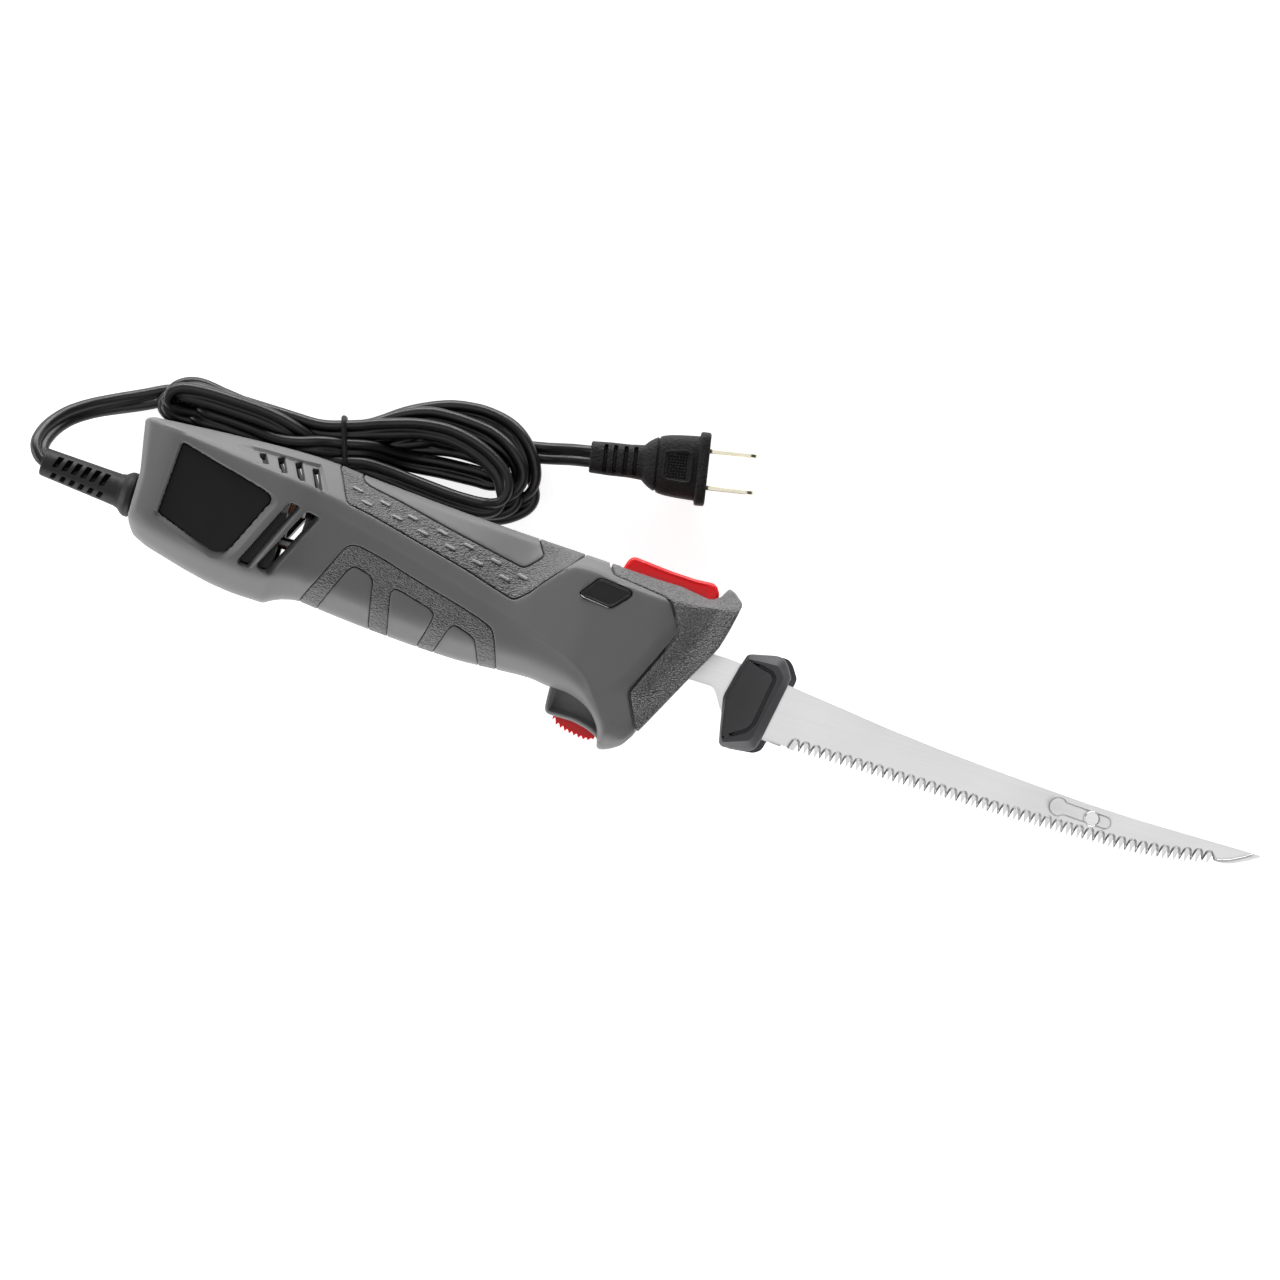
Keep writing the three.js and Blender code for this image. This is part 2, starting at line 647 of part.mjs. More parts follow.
add(
  "gear_frame",
  sum([
    prismU(at(octagon(12, 13, 5)), 68.6, 72.6),
    box(72, 106, M - 9.4, M - 7, -5, 5),
    box(101, 106, M - 9, M + 5, -4.8, 4.8),
  ])
    .subtract(cylU(60, 80, 6.4, M, 0, 20))
    .subtract(cylU(95, 110, 2.5, M, 0, 16)),
  nylon,
);
add("bearing_front", tubeU(68.8, 72.4, 6.1, 2.4, 20), steel);
for (const [tag, s] of [
  ["right", 1],
  ["left", -1],
])
  add(`brush_${tag}`, brushBox(s, 15.6, 20.6, 2.6, 7.5, 14), dark);

// ---------------------------------------------------------------- worm, wheel and eccentrics
const PITCH = Math.PI * GEAR_M;
const LEAD = PITCH * WORM_N;
const TAN20 = Math.tan((20 * Math.PI) / 180);
{
  const crest = PITCH / 4 - GEAR_M * TAN20 - BACKLASH / 2,
    root = PITCH / 4 + 1.15 * GEAR_M * TAN20 - BACKLASH / 2;
  const rOut = WORM_R + GEAR_M,
    rIn = WORM_R - 1.2 * GEAR_M;
  const prof = [
    [-root, rIn], [-crest, rOut], [0, rOut], [crest, rOut], [root, rIn],
    [root + (PITCH - 2 * root) / 3, rIn], [root + (2 * (PITCH - 2 * root)) / 3, rIn],
  ];
  const rings = [],
    steps = 26,
    length = 15;
  for (let i = 0; i <= steps; i++) {
    const u = GEAR_U - length / 2 + (length * i) / steps;
    const r = [];
    for (let s = 0; s < WORM_N; s++)
      for (const [x, rad] of prof) {
        // a thread's middle stands half a pitch from the wheel's centre on the side of the wheel
        const a = (2 * Math.PI * (u - GEAR_U - PITCH / 2 - s * PITCH - x)) / LEAD;
        r.push([u, M + rad * Math.cos(a), rad * Math.sin(a)]);
      }
    rings.push(r.reverse());
  }
  add("worm", mesh(rings).subtract(cylU(70, 110, 2.4, M, 0, 16)), steel);
}
{
  const rOut = WHEEL_R + GEAR_M * 0.9,
    rIn = WHEEL_R - GEAR_M * 1.25;
  const halfTip = PITCH / 4 - 0.9 * GEAR_M * TAN20 - BACKLASH,
    halfRoot = PITCH / 4 + 1.1 * GEAR_M * TAN20 - BACKLASH;
  const twist = LEAD / (2 * Math.PI * WORM_R) / WHEEL_R;
  const rings = [];
  for (let i = 0; i <= 2; i++) {
    const w = -3 + 3 * i,
      r = [];
    for (let t = 0; t < GEAR_N; t++) {
      const a0 = -Math.PI / 2 + (2 * Math.PI * t) / GEAR_N + w * twist;
      for (const [x, rad] of [
        [-halfRoot, rIn], [-halfTip, rOut], [halfTip, rOut], [halfRoot, rIn],
      ]) {
        const a = a0 + x / rad;
        r.push([GEAR_U + rad * Math.cos(a), GEAR_V + rad * Math.sin(a), w]);
      }
    }
    rings.push(r);
  }
  add("worm_wheel", mesh(rings).subtract(cylW(-5, 5, 1.9, GEAR_U, GEAR_V, 14)), nylon);
}
const PHI = -(PHASE / CRANK) * (Math.PI / 2);
const CAM_R = 4.2;
for (const [tag, s] of [
  ["right", 1],
  ["left", -1],
]) {
  const u = GEAR_U + s * CRANK * Math.sin(PHI),
    v = GEAR_V + s * CRANK * Math.cos(PHI);
  const w = s > 0 ? [3.3, 9.0] : [-9.0, -3.3];
  add(
    `eccentric_${tag}`,
    cylW(...w, CAM_R, u, v, 24).subtract(cylW(-20, 20, 1.9, GEAR_U, GEAR_V, 14)),
    steel,
  );
}
add("wheel_axle", cylW(-15.2, 15.2, 1.6, GEAR_U, GEAR_V, 14), steel);

// ---------------------------------------------------------------- carriers, latches and guides
const TANG_TOP = 2.2 * K,
  TANG_LOW = -9.7 * K;
for (const [tag, s] of [
  ["right", 1],
  ["left", -1],
]) {
  const w = (a, b) => (s > 0 ? [a, b] : [-b, -a]);
  const c = GEAR_U - s * PHASE; // yoke middle
  const d = -s * PHASE;
  const yoke = prism(
    [
      [c - 7.8, GEAR_V - 9.2], [c + 7.8, GEAR_V - 9.2], [c + 7.8, GEAR_V + 6.4], [c + 5, GEAR_V + 8.6], [c - 7.8, GEAR_V + 8.6],
    ],
    ...w(CARRIER_IN, CARRIER_OUT),
  ).subtract(
    box(c - CAM_R - 0.8, c + CAM_R + 0.8, GEAR_V - CAM_R - CRANK - 0.35, GEAR_V + CAM_R + CRANK + 0.35, -20, 20),
  );
  const arm = box(c + 6, 150 + d, TANG_LOW + 0.8, TANG_TOP, ...w(CARRIER_IN, CARRIER_OUT));
  const socket = box(146 + d, 194.5 + d, TANG_LOW + 0.3, TANG_TOP + 0.3, ...w(BLADE_W + BLADE_T + 0.3, CARRIER_OUT));
  add(`carrier_${tag}`, sum([yoke, arm, socket]), nylon);
  // latch: wraps the socket, with a hook in the notch of the tang
  const q = ([v, x]) => [v, s * x];
  const latch = [
    [6.5, 1.6], [6.5, 9.8], [-10.9, 9.8], [-10.9, 0.3], [-7.6, 0.3], [-7.6, 1.15], [-9.3, 1.15],
    [-9.3, 8.6], [5.1, 8.6], [5.1, 1.6],
  ].map(q);
  const hook = prismU(latch, 170.5 + d, 180.5 + d);
  const keep = box(173.8 + d, 177.2 + d, -12, 8, -20, 20).add(box(160, 200, -12, 8, ...w(1.6, 20)));
  add(`latch_${tag}`, hook.intersect(keep), steel);
}
add(
  "guide_rear",
  box(114, 119, -13, 5, -12.4, 12.4).subtract(box(110, 125, TANG_LOW - 0.4, TANG_TOP + 0.7, -8.6, 8.6)),
  nylon,
);
add(
  "guide_front",
  sum([
    box(186, 190.2, -13, 7, -17, 17),
    box(186, 196.5, 6.4, 9, -5, 5),
  ]).subtract(box(180, 200, TANG_LOW - 0.4, TANG_TOP + 0.7, -8.6, 8.6)),
  nylon,
);

// ---------------------------------------------------------------- blades
const SPINE = [
  [167, 2.2], [235, 2.2], [240, 1.6], [250, 0.3], [261, -1], [280, -3], [300, -5.2], [320, -6.8], [340, -8],
  [360, -9], [380, -9.8], [400, -10], [420, -9.7], [440, -9.3], [448.6, -9.2],
];
const POINT = [[449, -9.6], [445, -12.3], [440, -15], [436, -16.3], [434.4, -16.2]];
const HEEL = [[267.2, -24], [257, -23.5], [248, -23.2], [242, -21.6], [238, -17], [235, -12], [233, -9.7], [167, -9.7]];
const TOOTH_LOW = line([[260, -24], [350, -24], [370, -23.7], [390, -23.2], [400, -22.8], [410, -21.8], [420, -20.3], [430, -18], [436, -16.6]]);
const TOOTH_HIGH = line([[260, -19.8], [350, -19.8], [370, -19.2], [390, -18.7], [400, -18.3], [410, -17.3], [420, -15.8], [430, -13.8], [436, -13.4]]);
const TEETH = 40;
const teeth = [];
for (let i = TEETH; i > 0; i--) {
  const u0 = 267.2 + ((434.2 - 267.2) * (i - 1)) / TEETH,
    p = (434.2 - 267.2) / TEETH;
  const low = (u) => TOOTH_LOW(u * K) / K,
    high = (u) => TOOTH_HIGH(u * K) / K;
  if (i < TEETH) teeth.push([u0 + p, low(u0 + p)]);
  teeth.push([u0 + 0.66 * p, high(u0 + 0.66 * p)]);
  teeth.push([u0 + 0.34 * p, high(u0 + 0.34 * p)]);
}
const BLADE = S([...SPINE, ...POINT, ...teeth, ...HEEL]);
const NOTCH = box(173.4, 177.6, TANG_LOW - 2, TANG_LOW + 1.9, -20, 20);
const shift = (body, d) => body.translate([d, 0, 0]);
const keyhole = sum([
  cylW(-5, 5, 3.1, 372 * K, -14.4 * K, 18),
  cylW(-5, 5, 1.85, 390.8 * K, -14.8 * K, 14),
  prism(
    S([[372, -14.8 - 2.05], [390.8, -14.8 - 2.05], [390.8, -14.8 + 2.05], [372, -14.8 + 2.05]]),
    -5,
    5,
  ),
]);
const rightNotch = shift(NOTCH, -PHASE),
  leftNotch = shift(NOTCH, PHASE);
const rivetU = 385.5 * K,
  rivetV = -14.8 * K;
add("blade_right", cut(prism(BLADE, BLADE_W, BLADE_W + BLADE_T), [keyhole, rightNotch]), steel);
add(
  "blade_left",
  cut(shift(prism(BLADE, -BLADE_W - BLADE_T, -BLADE_W), 2 * PHASE), [
    leftNotch,
    cylW(-5, 5, 1.6, rivetU, rivetV, 14),
  ]),
  steel,
);
add(
  "tip_rivet",
  sum([
    cylW(BLADE_W + BLADE_T + 0.3, BLADE_W + BLADE_T + 1.2, 2.7, rivetU, rivetV, 20),
    cylW(-2.0, 2, 1.3, rivetU, rivetV, 14),
    cylW(-2.3, -BLADE_W - BLADE_T - 0.3, 2.4, rivetU, rivetV, 20),
  ]),
  steel,
);
const GUARD_IN = BLADE_W + BLADE_T + 0.3;
for (const [tag, s] of [
  ["right", 1],
  ["left", -1],
]) {
  const w = (a, b) => (s > 0 ? [a, b] : [-b, -a]);
  const g = sum([
    prism(GUARD, ...w(GUARD_IN, 5.2)),
    prism(grow(GUARD, -1.5), ...w(5, 6.8)),
  ]);
  add(`guard_${tag}`, s > 0 ? g : shift(g, 2 * PHASE), guardPlastic);
}

// ---------------------------------------------------------------- fasteners
SCREWS.forEach(([u, v], i) =>
  add(
    `screw_${i + 1}`,
    sum([cylW(-10.2, -8.3, 2.3, u, v, 12), cylW(-9, 8, 1.2, u, v, 8)]),
    steel,
  ),
);

// ---------------------------------------------------------------- cord and plug
{
  const v = -4.2 * K;
  const profile = [
    [0, -33.4], [4.3, -33.4], [4.6, -32.6], [5.4, -4], [7.3, -0.8], [7.3, 1.0], [4.3, 1.4], [4.3, 6.2],
    [6.2, 6.2], [6.2, 7.8], [0, 7.8],
  ];
  const body = solid(
    new THREE.LatheGeometry(profile.map(([r, u]) => new THREE.Vector2(r, u)), 16)
      .rotateZ(-Math.PI / 2)
      .translate(0, v, 0),
  );
  const notches = [];
  for (let i = 0; i < 6; i++) {
    const u = -28.6 + 3.6 * i;
    for (const s of [1, -1])
      notches.push(box(u, u + 1.5, v - 0.6, v + 10, s > 0 ? 1.6 : -10, s > 0 ? 10 : -1.6));
  }
  add("strain_relief", cut(body, notches), black);
}
const oval = (a, b, n = 8) => ring(a / 2, b / 2, n, 0.2);
const FLOOR = -HALF;
add(
  "cord_lead",
  tube(
    oval(CORD_T + 1.4, CORD_T + 1.4),
    spline([
      [-34.6, -4.2 * K, 0], [-36.4, -3.2, -0.6], [-37.3, 0.5, -2.4], [-36.6, 6.5, -5.6], [-33, 12.4, -9],
      [-27, 17.6, -12], [-18, 22.2, -14.4], [-10, 25.8, -15.6], [-4.6, 28.4, -16],
    ]),
    26,
  ),
  black,
);
const HANK = S([
  [-3.6, 30.5], [-1.6, 34.4], [3, 37.6], [8, 39.8], [15, 41.6], [25, 42.6], [40, 42.7], [55, 42.4], [62, 43],
  [67, 44.8], [73, 46.8], [85, 53], [96, 60], [105, 65], [113, 67.6], [121, 68.2], [129, 66.4], [136, 62.6],
  [141, 57.6], [145.6, 50.8], [148.2, 43.5], [148, 37], [145.4, 32], [141.4, 28.4], [136, 26.8],
  [110, 28.6], [80, 30.8], [73, 32], [66, 32], [60, 31], [30, 30], [10, 28.6], [2, 28.2], [-2.4, 28.6],
]);
add("cord_hank", prism(HANK, FLOOR, FLOOR + HANK_H), black);
{
  // the tie goes round the narrow part of the hank
  const a = [73.4 * K, 31.2 * K],
    b = [68.2 * K, 46.4 * K];
  const lo = FLOOR + 1.0,
    hi = FLOOR + HANK_H + 1.4;
  const d = [b[0] - a[0], b[1] - a[1]],
    l = Math.hypot(...d);
  const band = (x, p, q) =>
    [
      [-x, p], [l + x, p], [l + x, q], [-x, q],
    ].map(([t, h]) => new THREE.Vector2(t, h));
  const g = new THREE.ExtrudeGeometry(new THREE.Shape(band(1.6, lo - 1.0, hi)), { depth: 1.8, bevelEnabled: false });
  const hole = new THREE.ExtrudeGeometry(new THREE.Shape(band(0.4, lo - 5, hi - 1.1)), { depth: 6, bevelEnabled: false }).translate(0, 0, -2);
  const m = new THREE.Matrix4().makeBasis(
    new THREE.Vector3(d[0] / l, d[1] / l, 0),
    new THREE.Vector3(0, 0, 1),
    new THREE.Vector3(d[1] / l, -d[0] / l, 0),
  ).setPosition(a[0], a[1], 0);
  add(
    "cord_tie",
    solid(g.applyMatrix4(m)).subtract(solid(hole.applyMatrix4(m))).subtract(prism(grow(HANK, 0.3), FLOOR - 5, FLOOR + HANK_H + 0.3)),
    black,
  );
}
{
  const angle = (11 * Math.PI) / 180;
  const face = [206.75 * K, 68.95 * K];
  const axis = FLOOR + 8.4;
  const place = (g) =>
    g.rotateZ(angle).translate(face[0], face[1], axis);
  const slab = (list, h) => solid(place(extrude(list, h).translate(0, 0, -h / 2)));
  const mirrored = (list) => [...list, ...list.slice().reverse().map(([x, y]) => [x, -y])];
  const body = sum([
    slab(mirrored([[-40.6, 5.4], [-40, 5.6], [-22.5, 5.8], [-22, 6.2]]), 9),
    slab(mirrored([[-23.4, 6.2], [-20.5, 8.2], [-17, 9.9], [-13, 10.7], [-3, 11.2]]), 12.4),
    slab(mirrored([[-3.8, 12.6], [0, 12.6]]), 16.4),
  ]);
  add("plug_body", body, black);
  for (const [name, s] of [
    ["plug_pin_a", 1],
    ["plug_pin_b", -1],
  ])
    add(
      name,
      slab(
        [
          [0.3, (s * PIN_GAP) / 2 - 0.75], [16, (s * PIN_GAP) / 2 - 0.75], [16.8, (s * PIN_GAP) / 2 - 0.3],
          [16.8, (s * PIN_GAP) / 2 + 0.3], [16, (s * PIN_GAP) / 2 + 0.75], [0.3, (s * PIN_GAP) / 2 + 0.75],
        ],
        6.3,
      ),
      brass,
    );
  const back = [face[0] - 41 * Math.cos(angle), face[1] - 41 * Math.sin(angle)];
  add(
    "cord_tail",
    tube(
      oval(CORD_T + 1.4, CORD_T + 1.4),
      spline([
        [144.6 * K, 55.2 * K, axis], [150 * K, 57.6 * K, axis], [back[0] - 3, back[1] - 0.6, axis], [back[0], back[1], axis],
      ]),
      8,
    ),
    black,
  );
}

// ---------------------------------------------------------------- assembly
const root = new THREE.Group();
root.name = "electric_fillet_knife";
const lay = new THREE.Group();
lay.position.set(-CENTRE_U, -CENTRE_V, HALF);
root.add(lay);
for (const [name, body, material] of made) {
  const m = body.getMesh(),
    n = m.numProp,
    v = new Float32Array(m.numVert * 3);
  for (let i = 0; i < m.numVert; i++)
    v.set(m.vertProperties.subarray(i * n, i * n + 3), i * 3);
  const g = new THREE.BufferGeometry()
    .setAttribute("position", new THREE.BufferAttribute(v, 3))
    .setIndex(new THREE.BufferAttribute(new Uint32Array(m.triVerts), 1));
  g.computeVertexNormals();
  const part = new THREE.Mesh(g, new THREE.MeshStandardMaterial(material));
  part.name = name;
  lay.add(part);
}

export default root;
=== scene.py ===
import json
import math

import bpy
import numpy as np
from mathutils import Matrix, Vector, kdtree
from mathutils.geometry import delaunay_2d_cdt

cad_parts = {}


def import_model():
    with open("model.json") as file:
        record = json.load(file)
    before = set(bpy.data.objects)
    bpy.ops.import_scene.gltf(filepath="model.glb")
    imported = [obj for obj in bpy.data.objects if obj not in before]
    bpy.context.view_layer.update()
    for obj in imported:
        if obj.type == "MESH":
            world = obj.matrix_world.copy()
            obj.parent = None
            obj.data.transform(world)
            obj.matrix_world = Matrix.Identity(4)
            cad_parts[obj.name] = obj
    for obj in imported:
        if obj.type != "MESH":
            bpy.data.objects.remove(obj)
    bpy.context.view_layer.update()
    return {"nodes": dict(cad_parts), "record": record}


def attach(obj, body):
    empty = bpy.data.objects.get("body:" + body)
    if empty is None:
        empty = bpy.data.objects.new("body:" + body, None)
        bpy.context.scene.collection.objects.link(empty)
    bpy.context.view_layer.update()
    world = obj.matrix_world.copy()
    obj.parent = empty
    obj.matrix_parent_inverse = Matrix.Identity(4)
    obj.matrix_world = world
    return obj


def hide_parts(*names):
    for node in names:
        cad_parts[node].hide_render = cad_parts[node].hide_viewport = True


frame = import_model()
SCENE = bpy.context.scene

# Drawing frame, millimetres: u towards the blade tip, v towards the top of the knife, w from the left half to the right half.
K = 0.9                     # mm per unit of the side-view outlines
U0, V0, HALF = 186.385, -7.395, 22.5
GAP_W = 0.12                # half the seam between the two halves
COS, SIN = 0.95476, 0.29737  # how far the knife is turned in the picture


def world(p):
    return (np.asarray(p, float) - [U0, V0, -HALF]) / 1000.0


def S(points):
    return np.array(points, float) * K


# ------------------------------------------------------------------ camera
def make_camera():
    data = bpy.data.cameras.new("camera")
    data.type = "PERSP"
    data.sensor_width = 36.0
    data.lens = 180.0
    width = 0.4378
    height = width * data.lens / data.sensor_width
    cam = bpy.data.objects.new("camera", data)
    SCENE.collection.objects.link(cam)
    centre = world([181.17, -0.9, -HALF + 24.0])
    right = Vector((COS, SIN, 0.0))
    up = Vector((-SIN, COS, 0.0))
    back = Vector((0.0, 0.0, 1.0))
    rot = Matrix((right, up, back)).transposed()
    cam.matrix_world = Matrix.Translation(Vector(centre) + back * height) @ rot.to_4x4()
    data.clip_start, data.clip_end = 0.05, 20.0
    SCENE.camera = cam
    return cam


make_camera()


# ------------------------------------------------------------------ plane geometry
def segment_distance(p, poly, closed=True, reach=None):
    """Distance of each point to a polyline, and the index of its nearest segment."""
    p = np.asarray(p, float)
    poly = np.asarray(poly, float)
    best = np.full(len(p), 1e9)
    which = np.zeros(len(p), int)
    sel = np.arange(len(p))
    if reach is not None:
        lo, hi = poly.min(0) - reach, poly.max(0) + reach
        sel = np.nonzero(((p >= lo) & (p <= hi)).all(1))[0]
    q = p[sel]
    b = np.full(len(q), 1e9)
    k = np.zeros(len(q), int)
    n = len(poly)
    for i in range(n if closed else n - 1):
        a, e = poly[i], poly[(i + 1) % n]
        d = e - a
        l2 = d @ d
        if l2 < 1e-14:
            continue
        t = np.clip(((q - a) @ d) / l2, 0, 1)
        r = q - a - t[:, None] * d
        dist = np.einsum("ij,ij->i", r, r)
        m = dist < b
        b[m] = dist[m]
        k[m] = i
    best[sel] = np.sqrt(b)
    which[sel] = k
    return best, which


def inside(poly, p):
    poly = np.asarray(poly, float)
    p = np.asarray(p, float)
    out = np.zeros(len(p), bool)
    lo, hi = poly.min(0), poly.max(0)
    sel = np.nonzero(((p >= lo) & (p <= hi)).all(1))[0]
    x, y = p[sel, 0], p[sel, 1]
    res = np.zeros(len(sel), bool)
    n = len(poly)
    for i in range(n):
        x0, y0 = poly[i]
        x1, y1 = poly[(i + 1) % n]
        if y0 == y1:
            continue
        m = (y0 > y) != (y1 > y)
        res ^= m & (x < (x1 - x0) * (y - y0) / (y1 - y0) + x0)
    out[sel] = res
    return out


def signed(poly, p, reach=4.0):
    d, _ = segment_distance(p, poly, True, reach)
    return np.where(inside(poly, p), -d, d)


def fillet(poly, r, steps=5, closed=True):
    poly = np.asarray(poly, float)
    n = len(poly)
    out = []
    for i in range(n):
        b = poly[i]
        if not closed and i in (0, n - 1):
            out.append(b)
            continue
        a, e = poly[i - 1], poly[(i + 1) % n]
        la, le = np.linalg.norm(a - b), np.linalg.norm(e - b)
        if la < 1e-9 or le < 1e-9:
            continue
        da, de = (a - b) / la, (e - b) / le
        if da @ de < -0.9995:
            out.append(b)
            continue
        k = min(r, 0.45 * la, 0.45 * le)
        s, f = b + da * k, b + de * k
        for t in np.linspace(0, 1, steps):
            out.append((1 - t) ** 2 * s + 2 * t * (1 - t) * b + t * t * f)
    return np.array(out)


def resample(poly, step, closed=True):
    poly = np.asarray(poly, float)
    q = np.vstack([poly, poly[:1]]) if closed else poly
    d = np.linalg.norm(np.diff(q, axis=0), axis=1)
    keep = np.concatenate([[True], d > 1e-9])
    q = q[keep]
    a = np.concatenate([[0], np.cumsum(np.linalg.norm(np.diff(q, axis=0), axis=1))])
    n = max(3, int(round(a[-1] / step)))
    t = np.linspace(0, a[-1], n + 1)
    out = np.stack([np.interp(t, a, q[:, j]) for j in range(q.shape[1])], 1)
    return out[:-1] if closed else out


def area2(poly):
    x, y = poly[:, 0], poly[:, 1]
    return float(np.sum(x * np.roll(y, -1) - np.roll(x, -1) * y))


def offset(poly, d, closed=True):
    """Moves a dense outline outwards by d (inwards if negative)."""
    poly = np.asarray(poly, float)
    nxt, prv = np.roll(poly, -1, 0), np.roll(poly, 1, 0)
    if not closed:
        nxt[-1], prv[0] = poly[-1], poly[0]
    e1, e2 = poly - prv, nxt - poly
    l1 = np.linalg.norm(e1, axis=1, keepdims=True)
    l2 = np.linalg.norm(e2, axis=1, keepdims=True)
    e1 = np.where(l1 > 1e-9, e1 / np.maximum(l1, 1e-9), e2 / np.maximum(l2, 1e-9))
    e2 = np.where(l2 > 1e-9, e2 / np.maximum(l2, 1e-9), e1)
    n1 = np.stack([e1[:, 1], -e1[:, 0]], 1)
    n2 = np.stack([e2[:, 1], -e2[:, 0]], 1)
    k = 1.0 / np.maximum(0.5, 1 + (n1 * n2).sum(1, keepdims=True))
    sign = 1.0 if (not closed or area2(poly) > 0) else -1.0
    return poly + sign * d * (n1 + n2) * k


def circle(c, r, n=32):
    a = np.linspace(0, 2 * np.pi, n, endpoint=False)
    return np.stack([c[0] + r * np.cos(a), c[1] + r * np.sin(a)], 1)


def smooth(x):
    x = np.clip(x, 0, 1)
    return x * x * (3 - 2 * x)


def lip(d, r):
    """Drop of a rounded edge of radius r at distance d from it."""
    t = np.clip(d, 0, r)
    return np.where(d < r, r - np.sqrt(np.maximum(r * r - (r - t) ** 2, 0)), 0.0)


class Net:
    """Points and edges that a triangulation must keep."""

    def __init__(self, domain):
        self.domain = np.asarray(domain, float)
        self.p, self.e, self.n = [], [], 0

    def chain(self, pts, closed=True, clip=True):
        pts = np.asarray(pts, float)
        n = len(pts)
        ok = inside(self.domain, pts) if clip else np.ones(n, bool)
        pairs = [(i, i + 1) for i in range(n - 1)] + ([(n - 1, 0)] if closed else [])
        pairs = [q for q in pairs if ok[q[0]] or ok[q[1]]]
        used = sorted({i for q in pairs for i in q})
        index = {i: self.n + k for k, i in enumerate(used)}
        if used:
            self.p.append(pts[used])
            self.e += [(index[a], index[b]) for a, b in pairs]
            self.n += len(used)

    def fill(self, spacing, clear, where=None):
        lo, hi = self.domain.min(0), self.domain.max(0)
        rows = np.arange(lo[1], hi[1] + spacing, spacing * 0.866)
        pts = []
        for j, y in enumerate(rows):
            x = np.arange(lo[0] + (0.5 * spacing if j % 2 else 0), hi[0], spacing)
            pts.append(np.stack([x, np.full(len(x), y)], 1))
        pts = np.vstack(pts)
        pts = pts[inside(self.domain, pts)]
        if where is not None:
            pts = pts[where(pts)]
        have = np.vstack(self.p) if self.p else np.zeros((0, 2))
        tree = kdtree.KDTree(max(1, len(have)))
        for i, q in enumerate(have):
            tree.insert((q[0], q[1], 0.0), i)
        tree.balance()
        good = [q for q in pts if not len(have) or tree.find((q[0], q[1], 0.0))[2] > clear]
        if good:
            self.p.append(np.array(good))
            self.n += len(good)

    def triangles(self, holes=()):
        pts = np.vstack(self.p)
        vs, _, fs, _, _, _ = delaunay_2d_cdt([Vector(p) for p in pts], self.e, [], 0, 1e-6, False)
        v = np.array([tuple(p) for p in vs])
        f = np.array(fs, int)
        c = v[f].mean(1)
        a = v[f]
        size = (a[:, 1, 0] - a[:, 0, 0]) * (a[:, 2, 1] - a[:, 0, 1]) - (a[:, 2, 0] - a[:, 0, 0]) * (a[:, 1, 1] - a[:, 0, 1])
        ok = inside(self.domain, c) & (np.abs(size) > 1e-9)
        for h in holes:
            ok &= ~inside(h, c)
        f = f[ok]
        flip = size[ok] < 0
        f[flip] = f[flip][:, ::-1]
        used = np.unique(f)
        new = np.full(len(v), -1)
        new[used] = np.arange(len(used))
        return v[used], new[f]


# ------------------------------------------------------------------ meshes
def weld(verts, faces, tol=1e-3):
    keys = np.round(verts / tol).astype(np.int64)
    _, first, inv = np.unique(keys, axis=0, return_index=True, return_inverse=True)
    inv = inv.reshape(-1)
    v = verts[first]
    out = []
    for f in faces:
        g = [int(inv[i]) for i in f]
        h = [g[i] for i in range(len(g)) if g[i] != g[i - 1]]
        if len(h) >= 3 and len(set(h)) == len(h):
            out.append(h)
    return v, out


def close_shell(out, inn, tris):
    """A closed body from an outer sheet, the same sheet moved inwards, and the rims between them."""
    n = len(out)
    e = {}
    for a, b, c in tris:
        for q in ((a, b), (b, c), (c, a)):
            e[q] = e.get(q, 0) + 1
    faces = [list(map(int, t)) for t in tris] + [[int(c) + n, int(b) + n, int(a) + n] for a, b, c in tris]
    for (a, b) in e:
        if (b, a) not in e:
            faces.append([int(b), int(a), int(a) + n, int(b) + n])
    return np.vstack([out, inn]), faces


def relief(outline, rings, spacing, height, floor):
    """A body whose top follows height(distance from the outline), over a flat underside."""
    net = Net(outline)
    net.chain(outline, clip=False)
    for d in rings:
        net.chain(offset(outline, -d))
    net.fill(spacing, 0.45 * spacing)
    q, t = net.triangles()
    d, _ = segment_distance(q, outline)
    return close_shell(np.column_stack([q, height(d)]), np.column_stack([q, np.full(len(q), floor)]), t)


def piece(name, verts, faces, material, body, nodes=(), sharp=32.0, mirror=False, tol=1e-3, done=True):
    """One named mesh from millimetre points; mirror puts it on the left half."""
    verts = np.asarray(verts, float).copy()
    if mirror:
        verts[:, 2] *= -1
        faces = [list(reversed(f)) for f in faces]
    if tol:
        verts, faces = weld(verts, faces, tol)
    me = bpy.data.meshes.new(name)
    me.from_pydata(world(verts).tolist(), [], [list(map(int, f)) for f in faces])
    me.validate()
    me.polygons.foreach_set("use_smooth", np.ones(len(me.polygons), bool))
    me.set_sharp_from_angle(angle=math.radians(sharp))
    me.update()
    ob = bpy.data.objects.new(name, me)
    SCENE.collection.objects.link(ob)
    me.materials.append(material)
    if done:
        place(ob, body, nodes)
    return ob


def place(ob, body, nodes=()):
    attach(ob, body)
    if nodes:
        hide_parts(*nodes)
    return ob


def join_lists(parts):
    verts, faces, n = [], [], 0
    for v, f in parts:
        verts.append(np.asarray(v, float))
        faces += [[i + n for i in g] for g in f]
        n += len(v)
    return np.vstack(verts), faces


